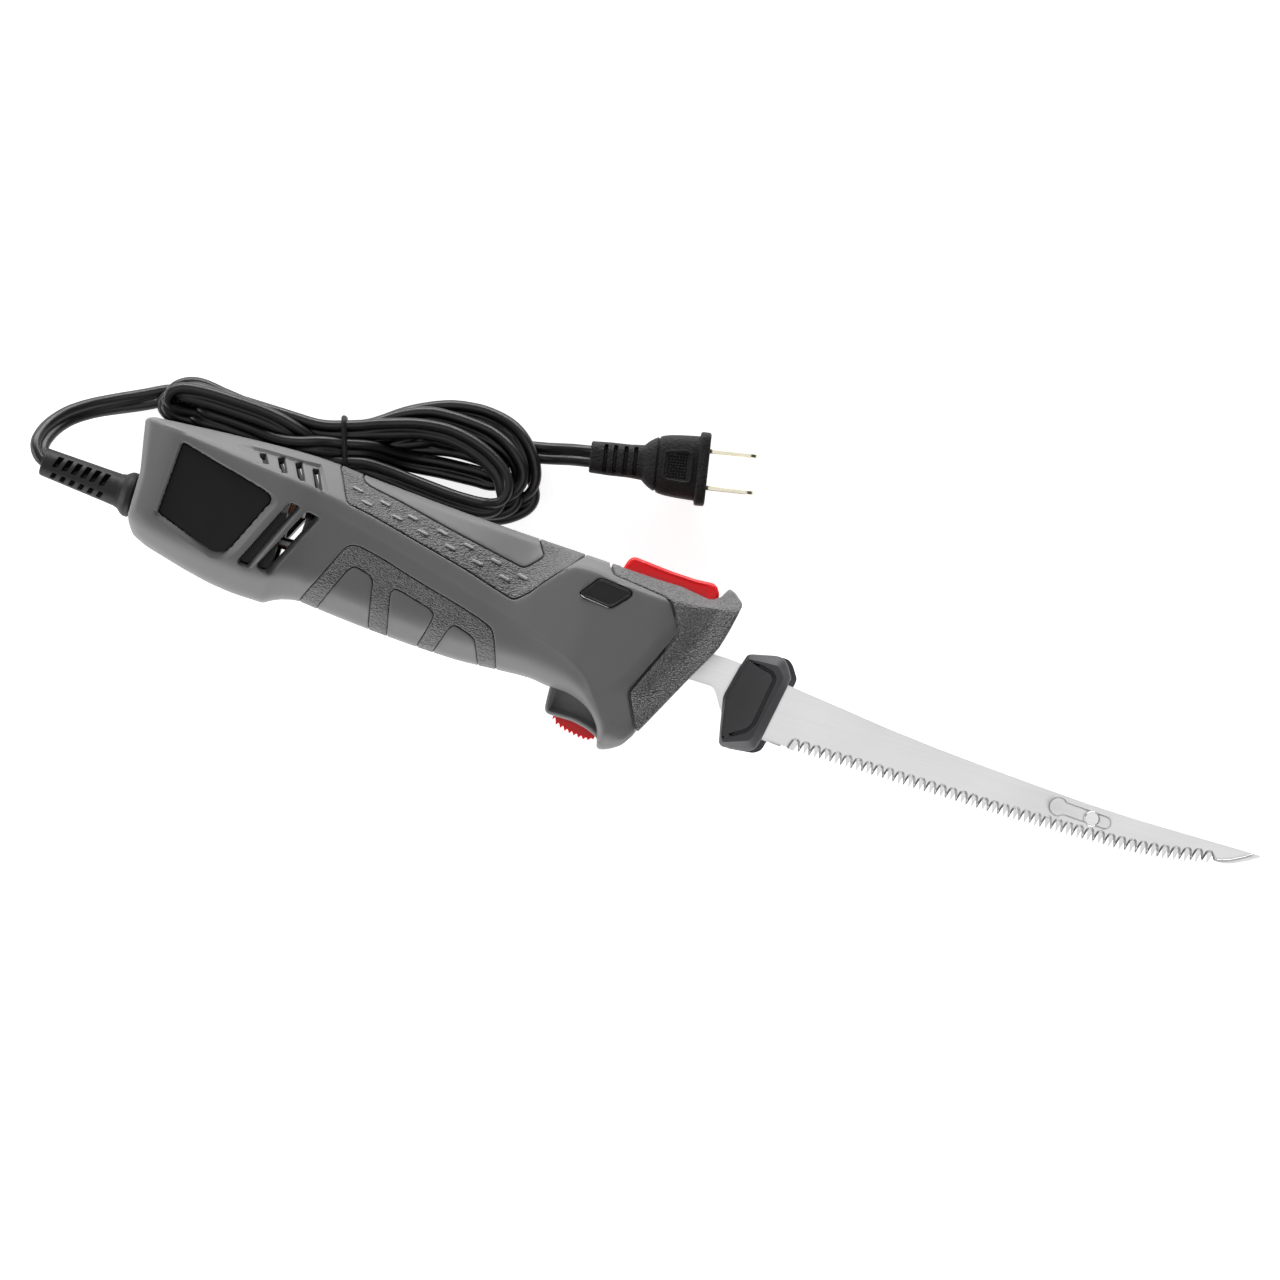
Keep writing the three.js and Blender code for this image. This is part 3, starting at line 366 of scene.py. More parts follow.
def cap(poly, flip=False):
    """Triangles of a flat outline, as indices into it."""
    vs, _, fs, ov, _, _ = delaunay_2d_cdt([Vector(p) for p in poly], [(i, (i + 1) % len(poly)) for i in range(len(poly))], [], 1, 1e-7, True)
    poly = np.asarray(poly, float)
    idx = [o[0] if o else int(np.argmin(((poly - np.array(v)) ** 2).sum(1))) for o, v in zip(ov, vs)]
    out = []
    for f in fs:
        g = [idx[i] for i in f]
        if len(set(g)) < 3:
            continue
        a, b, c = (poly[i] for i in g)
        s = (b[0] - a[0]) * (c[1] - a[1]) - (c[0] - a[0]) * (b[1] - a[1])
        if (s < 0) != flip:
            g = g[::-1]
        out.append(g)
    return out


def slab(outline, rings, hold=0.25):
    """A body from one outline at several (inward offset, height) rings, lowest first, closed by flat caps."""
    outline = np.asarray(outline, float)
    if area2(outline) < 0:
        outline = outline[::-1]
    n = len(outline)
    verts, faces = [], []
    flats = []
    rings = [(rings[0][0] + hold, rings[0][1]), *rings, (rings[-1][0] + hold, rings[-1][1])]
    for d, h in rings:
        q = offset(outline, -d) if d else outline
        flats.append(q)
        verts.append(np.column_stack([q, np.full(n, h)]))
    for r in range(len(rings) - 1):
        for i in range(n):
            j = (i + 1) % n
            faces.append([r * n + i, r * n + j, (r + 1) * n + j, (r + 1) * n + i])
    faces += [[i for i in f] for f in cap(flats[0], flip=True)]
    top = (len(rings) - 1) * n
    faces += [[top + i for i in f] for f in cap(flats[-1])]
    return np.vstack(verts), faces


def round_rings(w0, w1, r, steps=5, r0=None):
    """Rings of a slab with its top edge rounded by r and its bottom edge by r0."""
    out = []
    if r0:
        for t in np.linspace(0, np.pi / 2, steps):
            out.append((r0 * (1 - math.sin(t)), w0 + r0 * (1 - math.cos(t))))
    else:
        out.append((0.0, w0))
    for t in np.linspace(0, np.pi / 2, steps):
        out.append((r * (1 - math.cos(t)), w1 - r * (1 - math.sin(t))))
    return out


def lathe(profile, seg=48, ry=1.0):
    """Turned about the first axis: profile of (along, radius), closed at both ends; returns (along, y, z)."""
    verts, faces = [], []
    a = np.linspace(0, 2 * np.pi, seg, endpoint=False)
    for x, r in profile:
        verts += [(x, r * math.cos(t), ry * r * math.sin(t)) for t in a]
    m = len(profile)
    for k in range(m - 1):
        for i in range(seg):
            j = (i + 1) % seg
            faces.append([k * seg + i, (k + 1) * seg + i, (k + 1) * seg + j, k * seg + j])
    faces.append([i for i in range(seg)])
    faces.append([(m - 1) * seg + i for i in reversed(range(seg))])
    return np.array(verts), faces


# ------------------------------------------------------------------ materials
def new_material(name):
    m = bpy.data.materials.new(name)
    m.use_nodes = True
    nt = m.node_tree
    bsdf = next(n for n in nt.nodes if n.type == "BSDF_PRINCIPLED")
    coord = nt.nodes.new("ShaderNodeTexCoord")
    return m, nt, bsdf, coord.outputs["Object"]


def mapping(nt, vec, scale, rotation=(0, 0, 0)):
    mp = nt.nodes.new("ShaderNodeMapping")
    mp.inputs["Scale"].default_value = scale
    mp.inputs["Rotation"].default_value = rotation
    nt.links.new(vec, mp.inputs["Vector"])
    return mp.outputs["Vector"]


def noise(nt, vec, scale, detail=3.0, rough=0.55):
    n = nt.nodes.new("ShaderNodeTexNoise")
    n.inputs["Scale"].default_value = scale
    n.inputs["Detail"].default_value = detail
    n.inputs["Roughness"].default_value = rough
    nt.links.new(vec, n.inputs["Vector"])
    return n.outputs["Fac"]


def ramp(nt, fac, a, b, lo=0.3, hi=0.7):
    r = nt.nodes.new("ShaderNodeValToRGB")
    r.color_ramp.elements[0].position, r.color_ramp.elements[1].position = lo, hi
    r.color_ramp.elements[0].color = (*a, 1.0)
    r.color_ramp.elements[1].color = (*b, 1.0)
    nt.links.new(fac, r.inputs["Fac"])
    return r.outputs["Color"]


def remap(nt, fac, lo, hi):
    m = nt.nodes.new("ShaderNodeMapRange")
    m.inputs["From Min"].default_value, m.inputs["From Max"].default_value = 0.25, 0.75
    m.inputs["To Min"].default_value, m.inputs["To Max"].default_value = lo, hi
    nt.links.new(fac, m.inputs["Value"])
    return m.outputs["Result"]


def bump(nt, bsdf, height, strength, distance, after=None):
    b = nt.nodes.new("ShaderNodeBump")
    b.inputs["Strength"].default_value = strength
    b.inputs["Distance"].default_value = distance
    nt.links.new(height, b.inputs["Height"])
    if after is not None:
        nt.links.new(after, b.inputs["Normal"])
    nt.links.new(b.outputs["Normal"], bsdf.inputs["Normal"])
    return b.outputs["Normal"]


def plastic(name, colour, rough, grain=0.00012, vary=0.08, strength=0.12, coat=0.0, specular=0.5, size=2200.0):
    """Moulded plastic: spark-eroded grain, faint shade and gloss changes."""
    m, nt, b, vec = new_material(name)
    big = noise(nt, vec, 38.0, 3.0)
    a = [c * (1 - vary) for c in colour]
    e = [min(1, c * (1 + vary)) for c in colour]
    nt.links.new(ramp(nt, big, a, e), b.inputs["Base Color"])
    fine = noise(nt, vec, size, 2.0)
    nt.links.new(remap(nt, noise(nt, vec, 160.0, 4.0), rough - 0.05, rough + 0.05), b.inputs["Roughness"])
    b.inputs["Specular IOR Level"].default_value = specular
    b.inputs["Coat Weight"].default_value = coat
    bump(nt, b, fine, strength, grain)
    return m


def leather_grain(name, colour, rough):
    """Soft overmould: wrinkled pebble grain, its colour lighter on the pebbles' tops and darker between them: painted
    highlight and shade of the grain.
    """
    m, nt, b, vec = new_material(name)
    big = noise(nt, vec, 45.0, 3.0)
    v = nt.nodes.new("ShaderNodeTexVoronoi")
    v.feature = "SMOOTH_F1"
    v.inputs["Scale"].default_value = 1450.0
    v.inputs["Smoothness"].default_value = 0.35
    warp = nt.nodes.new("ShaderNodeVectorMath")
    warp.operation = "MULTIPLY_ADD"
    wn = nt.nodes.new("ShaderNodeTexNoise")
    wn.inputs["Scale"].default_value = 700.0
    wn.inputs["Detail"].default_value = 2.0
    stretched = mapping(nt, vec, (0.8, 1.35, 1.0), (0, 0, 0.35))
    nt.links.new(stretched, wn.inputs["Vector"])
    nt.links.new(wn.outputs["Color"], warp.inputs[0])
    warp.inputs[1].default_value = (0.0009, 0.0009, 0.0009)
    nt.links.new(stretched, warp.inputs[2])
    nt.links.new(warp.outputs["Vector"], v.inputs["Vector"])
    # the colour follows the pebble relief, lighter on the tops and darker in the crevices: painted highlight and shade
    a = [c * 0.68 for c in colour]
    e = [min(1, c * 1.24) for c in colour]
    shade = ramp(nt, v.outputs["Distance"], e, a, 0.12, 0.72)
    tint = nt.nodes.new("ShaderNodeMix")
    tint.data_type = "RGBA"
    tint.blend_type = "MULTIPLY"
    tint.inputs["Factor"].default_value = 1.0
    nt.links.new(shade, tint.inputs["A"])
    nt.links.new(ramp(nt, big, (0.93, 0.93, 0.93), (1, 1, 1)), tint.inputs["B"])
    nt.links.new(tint.outputs["Result"], b.inputs["Base Color"])
    nt.links.new(remap(nt, v.outputs["Distance"], rough - 0.08, rough + 0.08), b.inputs["Roughness"])
    b.inputs["Specular IOR Level"].default_value = 0.45
    inv = nt.nodes.new("ShaderNodeMath")
    inv.operation = "SUBTRACT"
    inv.inputs[0].default_value = 1.0
    nt.links.new(v.outputs["Distance"], inv.inputs[1])
    bump(nt, b, inv.outputs[0], 1.0, 0.0005)
    return m


def brushed(name, colour, rough, along=(1.0, 0.0), streak=1.0, strength=0.1, contrast=1.0):
    """Metal with fine lines along one direction of the drawing."""
    m, nt, b, vec = new_material(name)
    angle = math.atan2(along[1], along[0])
    v = mapping(nt, vec, (30.0 * streak, 2600.0, 2600.0), (0, 0, -angle))
    lines = noise(nt, v, 1.0, 4.0, 0.6)
    cloud = noise(nt, vec, 22.0, 2.0)
    a = [c * (1 - 0.07 * contrast) for c in colour]
    e = [min(1, c * (1 + 0.04 * contrast)) for c in colour]
    nt.links.new(ramp(nt, lines, a, e), b.inputs["Base Color"])
    nt.links.new(remap(nt, cloud, rough - 0.04, rough + 0.05), b.inputs["Roughness"])
    b.inputs["Metallic"].default_value = 1.0
    bump(nt, b, lines, strength, 0.00006)
    return m


def wound(name, colour):
    """Varnished wire or laminations: fine bands across the piece."""
    m, nt, b, vec = new_material(name)
    w = nt.nodes.new("ShaderNodeTexWave")
    w.wave_type = "BANDS"
    w.inputs["Scale"].default_value = 420.0
    w.inputs["Distortion"].default_value = 1.2
    nt.links.new(vec, w.inputs["Vector"])
    a = [c * 0.55 for c in colour]
    nt.links.new(ramp(nt, w.outputs["Fac"], a, colour), b.inputs["Base Color"])
    b.inputs["Metallic"].default_value = 0.85
    nt.links.new(remap(nt, noise(nt, vec, 300.0), 0.3, 0.45), b.inputs["Roughness"])
    bump(nt, b, w.outputs["Fac"], 0.4, 0.0001)
    return m


M_GREY = plastic("grey_plastic", (0.200, 0.200, 0.202), 0.44, vary=0.03, strength=0.10, specular=0.3)
M_SMOOTH = M_GREY
M_GRIP = leather_grain("grip_rubber", (0.192, 0.192, 0.194), 0.55)
# the strokes' lighter, glossier grey stands for the highlight along their upper edges: a painted highlight
M_STROKE_PAINTED_HIGHLIGHT = plastic("grip_stroke", (0.30, 0.30, 0.302), 0.36, vary=0.06, strength=0.15, specular=0.5, size=1500.0)
M_BADGE = plastic("badge_black", (0.012, 0.012, 0.013), 0.40, vary=0.15, strength=0.05, specular=0.16)
M_BLACK = plastic("black_plastic", (0.014, 0.014, 0.015), 0.42, vary=0.15, strength=0.1, specular=0.3)
M_RED = plastic("red_plastic", (0.90, 0.012, 0.017), 0.34, vary=0.04, strength=0.05, coat=0.08, specular=0.3)
M_GUARD = plastic("guard_plastic", (0.092, 0.092, 0.098), 0.5, specular=0.35, vary=0.06, grain=0.0002, strength=0.18, size=1600.0)
M_CORD = plastic("black_rubber", (0.012, 0.0115, 0.0115), 0.36, vary=0.15, strength=0.10, grain=0.0002, size=900.0)
M_PLUG = plastic("plug_rubber", (0.017, 0.0165, 0.017), 0.56, vary=0.2, strength=0.9, grain=0.0005, size=1300.0, specular=0.3)
M_SLEEVE = plastic("sleeve_rubber", (0.016, 0.0158, 0.016), 0.52, vary=0.12, strength=0.2, grain=0.0002, size=1500.0, specular=0.36)
M_BLADE = brushed("blade_steel", (0.86, 0.86, 0.865), 0.34, strength=0.05, contrast=0.45)
M_EDGE = brushed("edge_steel", (0.84, 0.84, 0.85), 0.2, along=(0.2, 1.0))
M_SPRING = brushed("spring_steel", (0.62, 0.62, 0.64), 0.3)
M_MACHINED = brushed("machined_steel", (0.6, 0.6, 0.62), 0.28)
# near-black laminations stand for the shade inside the housing seen through the vents: painted shade, not the steel's
# own grey
M_LAMINATION_PAINTED_SHADE = wound("lamination_steel", (0.04, 0.039, 0.038))
M_COPPER = wound("copper", (0.36, 0.13, 0.06))
M_CARBON = plastic("carbon", (0.02, 0.02, 0.02), 0.7)
M_BRONZE = brushed("bronze", (0.6, 0.42, 0.22), 0.4)
M_PIN = brushed("pin_brass", (0.86, 0.81, 0.66), 0.24)
M_NYLON = plastic("nylon", (0.70, 0.67, 0.58), 0.5)


# ------------------------------------------------------------------ handle curves, in units
class Line:
    """Smooth curve through knots given in units, without overshoot; takes and gives millimetres."""

    def __init__(self, knots):
        k = np.array(knots, float) * K
        self.x, self.y = k[:, 0], k[:, 1]
        self.h = np.diff(self.x)
        s = np.diff(self.y) / self.h
        m = np.zeros(len(k))
        m[0], m[-1] = s[0], s[-1]
        for i in range(1, len(k) - 1):
            if s[i - 1] * s[i] > 0:
                a, b = 2 * self.h[i] + self.h[i - 1], self.h[i] + 2 * self.h[i - 1]
                m[i] = (a + b) / (a / s[i - 1] + b / s[i])
        self.m = m

    def __call__(self, u):
        u = np.clip(np.asarray(u, float), self.x[0], self.x[-1])
        i = np.clip(np.searchsorted(self.x, u, side="right") - 1, 0, len(self.h) - 1)
        h = self.h[i]
        t = (u - self.x[i]) / h
        t2, t3 = t * t, t * t * t
        return (
            (2 * t3 - 3 * t2 + 1) * self.y[i]
            + (t3 - 2 * t2 + t) * h * self.m[i]
            + (3 * t2 - 2 * t3) * self.y[i + 1]
            + (t3 - t2) * h * self.m[i + 1]
        )


line = Line
TOP = line([
    [-8, 24.7], [-2, 25], [10, 26], [30, 27.6], [50, 28.8], [62, 29.2], [72, 28.9], [82, 28],
    [100, 26.8], [120, 25.7], [140, 24.9], [160, 24.4], [184, 23.8], [205, 23.3], [221, 23.4],
    [225, 24.7], [228.5, 27.9], [240, 27.9],
])
BOTTOM = line([
    [-8, -21], [3, -19.5], [9, -22], [20, -25], [30, -27.4], [40, -29.3], [50, -30.2], [59.5, -30.3],
    [63, -28.5], [67, -26.8], [73, -25.6], [80, -26.2], [100, -27.8], [120, -28.8], [135, -29.1],
    [153, -28], [165, -27.4], [174, -28.3], [180, -28.5], [186, -30], [190, -32], [193, -34.6],
    [196, -39], [198, -45.6], [200, -46], [240, -46],
])
SHOULDER_V = line([
    [-8, 24.3], [-2, 24.4], [15, 22.8], [40, 19.8], [72, 16.5], [85, 14.4], [110, 9.4], [130, 4.9],
    [148, 0.2], [151, 0], [156, 3.8], [160, 9], [165, 14.6], [170, 18.6], [176, 19], [184, 18],
    [205, 16.6], [216, 17.5], [226, 20], [240, 20.5],
])
SHOULDER_W = line([
    [-8, 19], [-2, 20.5], [4, 22.8], [12, 25], [55, 25], [62, 24.3], [72, 22.4], [85, 20.8], [110, 19.6],
    [140, 19.8], [150, 20.2], [160, 21.6], [170, 23.4], [180, 24.9], [186, 25], [204, 25], [212, 24.2],
    [222, 23], [229, 24], [240, 24],
])
TOP_W = line([
    [-8, 15], [-2, 17], [10, 13.5], [30, 9.5], [50, 7.8], [72, 7.2], [110, 7.2], [148, 7.6], [160, 8.6],
    [170, 10], [184, 11], [205, 12], [226, 13], [240, 13],
])
BELT_V = line([
    [-8, 8], [30, 9], [50, 10], [62, 10.4], [80, 8.6], [100, 4.6], [120, 0], [140, -5], [160, -10],
    [175, -14.5], [185, -20], [192, -28], [198, -34], [205, -34], [212, -28], [222, -16], [240, -8],
])
BELT_W = line([
    [-8, 19.5], [-2, 21], [4, 23.2], [12, 25], [55, 25], [62, 24.6], [72, 23], [85, 21.7], [110, 20.5],
    [140, 20.8], [150, 21.2], [160, 22.2], [170, 23.8], [180, 25], [206, 25], [214, 24.4], [222, 23.4],
    [229, 24], [240, 24],
])
LOW_V = line([
    [-8, -12], [3, -12.5], [9, -14], [20, -16.5], [40, -18.5], [55, -19.5], [62, -19], [72, -17], [85, -17.5],
    [110, -19], [140, -20], [160, -20.5], [175, -22.5], [184, -25.5], [190, -30.5], [196, -36.5], [199, -40],
    [240, -40],
])
LOW_W = line([
    [-8, 19], [-2, 21], [4, 23.2], [12, 25], [52, 25], [60, 23.8], [66, 21.5], [72, 19.8], [85, 18.6],
    [110, 17.6], [140, 18], [160, 19.6], [175, 22], [190, 23.4], [206, 23], [240, 22],
])
BOTTOM_W = line([
    [-8, 12], [4, 13], [12, 14], [55, 13.5], [66, 11], [85, 9.5], [110, 9], [140, 9.5], [160, 11.5],
    [175, 14], [186, 16], [198, 17], [240, 16],
])

# side-view outlines
REAR = [
    [-2, 25], [-0.5, 17], [1, 10], [2.5, 3], [2.6, -8], [2.8, -14], [4, -17], [6.3, -20.2], [9.5, -22.2],
]
FRONT = [
    [198, -45.8], [203, -43.5], [206.5, -41], [209.6, -35.9], [210.6, -34.6], [213, -30], [218, -20],
    [224, -8], [229.3, 2], [230.7, 5], [232.5, 12], [234, 20], [234.3, 23.6], [230.6, 26.6], [228.5, 28.2],
]
POD = S([
    [173.6, -22], [174, -31], [174.4, -36], [175.2, -37.7], [176.6, -38.2], [186, -38.0], [192, -39.2],
    [196.3, -41], [198.2, -43.8], [204, -40], [204, -22],
])
UPPER_GRIP = S([
    [73.5, 36], [73.5, 28.2], [76, 24], [79, 18.5], [80.5, 16], [82, 15.3], [90, 14], [100, 11.8], [110, 9.5],
    [120, 7.3], [130, 5], [140, 2.2], [149, -0.3], [150.5, -0.6], [152, -0.2], [156, 3.5], [160, 9],
    [165, 15], [172, 23.5], [172, 36],
])
UPPER_WINDOW = S([
    [82.5, 36], [82.5, 27.8], [84, 25.5], [86.5, 24.3], [100, 22], [120, 17.8], [140, 14], [149, 12.3],
    [151, 12.1], [152.5, 13], [156.8, 17.8], [157, 19], [153.5, 24.5], [153.5, 36],
])
LOWER_GRIP = S([
    [73.5, -36], [73.5, -25.3], [78, -16], [82, -7], [85, -0.5], [87, 1], [90, 1.3], [100, -0.7], [110, -3.5],
    [120, -6], [130, -8.3], [140, -11], [145, -12.7], [147, -14], [149, -18], [152.3, -27.5], [152.3, -36],
])
LOWER_WINDOWS = [S(p) for p in [
    [[80.5, -36], [80.5, -26.3], [88, -9], [89.5, -7], [91, -6.5], [97, -8], [98.5, -10], [101.5, -27.7], [101.5, -36]],
    [[109, -36], [109, -28], [106, -11.5], [107.5, -10], [110, -10.3], [122, -13.3], [124.3, -15], [123, -22], [121, -28.7], [121, -36]],
    [[127.5, -36], [127.5, -29], [131, -18.5], [132.3, -16.7], [133.5, -16.5], [139.5, -18.3], [141.5, -19.5], [143.5, -24], [145.5, -29], [145.5, -36]],
]]
NOSE_GRIP = S([
    [182, 36], [182, 24], [183.5, 21.5], [185, 19.7], [190, 19.3], [200, 18.2], [206, 17.5], [208.5, 16],
    [210, 13.5], [213, 9], [214.3, 6], [213.5, 3], [210, -5], [206, -14], [203.5, -20], [203.5, -22],
    [205, -25], [207, -29], [210, -34.5], [214, -40], [240, -40], [240, 36],
])
BADGE = S([
    [14.8, 19], [49, 11], [52, 9.8], [53.2, 7.8], [44, -13], [42, -16], [38, -17.3], [13.6, -9],
])
SIDE_VENTS = [S(p) for p in [
    [[59.4, 8.4], [60.8, 9.5], [64.8, 8.7], [53.6, -18.5], [52.3, -19.4], [48.6, -18.9], [47.6, -17.4]],
    [[66.7, 7.2], [68.1, 8], [72.6, 6.9], [61.5, -18.4], [60.3, -19.3], [55.9, -18.2], [55, -16.8]],
]]
TOP_VENTS = [S(p) for p in [
    [[43.0, 24.7], [45.4, 25.3], [48.7, 20.9], [46.1, 20.4]],
    [[50.0, 25.2], [52.5, 25.8], [56.4, 19.8], [53.9, 19.2]],
    [[56.9, 25.3], [59.4, 25.9], [63.6, 19.1], [61.2, 18.4]],
    [[63.8, 25.0], [66.2, 25.6], [70.5, 18.3], [68.2, 17.5]],
]]
LOCK = S([
    [174.4, 9], [176, 8.3], [186.4, 7.2], [188, 8], [193.5, 14.2], [192.6, 15.7], [181.6, 16.8], [179.8, 16.2],
])
RELEASE = S([
    [187, 20], [187, 23], [188, 26.5], [189, 28], [190.5, 28.6], [195, 28.3], [205, 27.5], [215, 27.3],
    [221.5, 27.9], [223.4, 27], [225, 24.5], [225, 20],
])
GUARD = S([
    [237.8, -12], [240.3, 0], [242, 5.8], [243.5, 6.5], [253, 8.8], [255.5, 8.6], [257.5, 7], [260.5, 2.5],
    [260.3, 0.5], [256.3, -24.5], [255.5, -27.5], [253, -29.3], [243, -30.5], [241.5, -29.5], [240, -23],
])
SCREWS = [
    [7.5, 17], [18, -18], [66, 18.5], [124, -17.5], [150, 9], [184, -24],
]
SPINE = [
    [167, 2.2], [235, 2.2], [240, 1.6], [250, 0.3], [261, -1], [280, -3], [300, -5.2], [320, -6.8], [340, -8],
    [360, -9], [380, -9.8], [400, -10], [420, -9.7], [440, -9.3], [448.6, -9.2],
]
POINT = [[449, -9.6], [445, -12.3], [440, -15], [436, -16.3], [434.4, -16.2]]
HEEL = [[267.2, -24], [257, -23.5], [248, -23.2], [242, -21.6], [238, -17], [235, -12], [233, -9.7], [167, -9.7]]
TOOTH_LOW = line([[260, -24.4], [350, -24.6], [370, -24.3], [390, -23.8], [400, -23.4], [410, -22.4], [420, -20.8], [430, -18.5], [436, -17]])
TOOTH_HIGH = line([[260, -19.8], [350, -19.8], [370, -19.2], [390, -18.7], [400, -18.3], [410, -17.3], [420, -15.8], [430, -13.8], [436, -13.4]])


# ------------------------------------------------------------------ cord, strain relief and plug
CORD_W, CORD_T = 7.6, 3.8
TIE_A = np.array([73.4, 31.2]) * K
TIE_D = np.array([-0.3238, 0.9461])

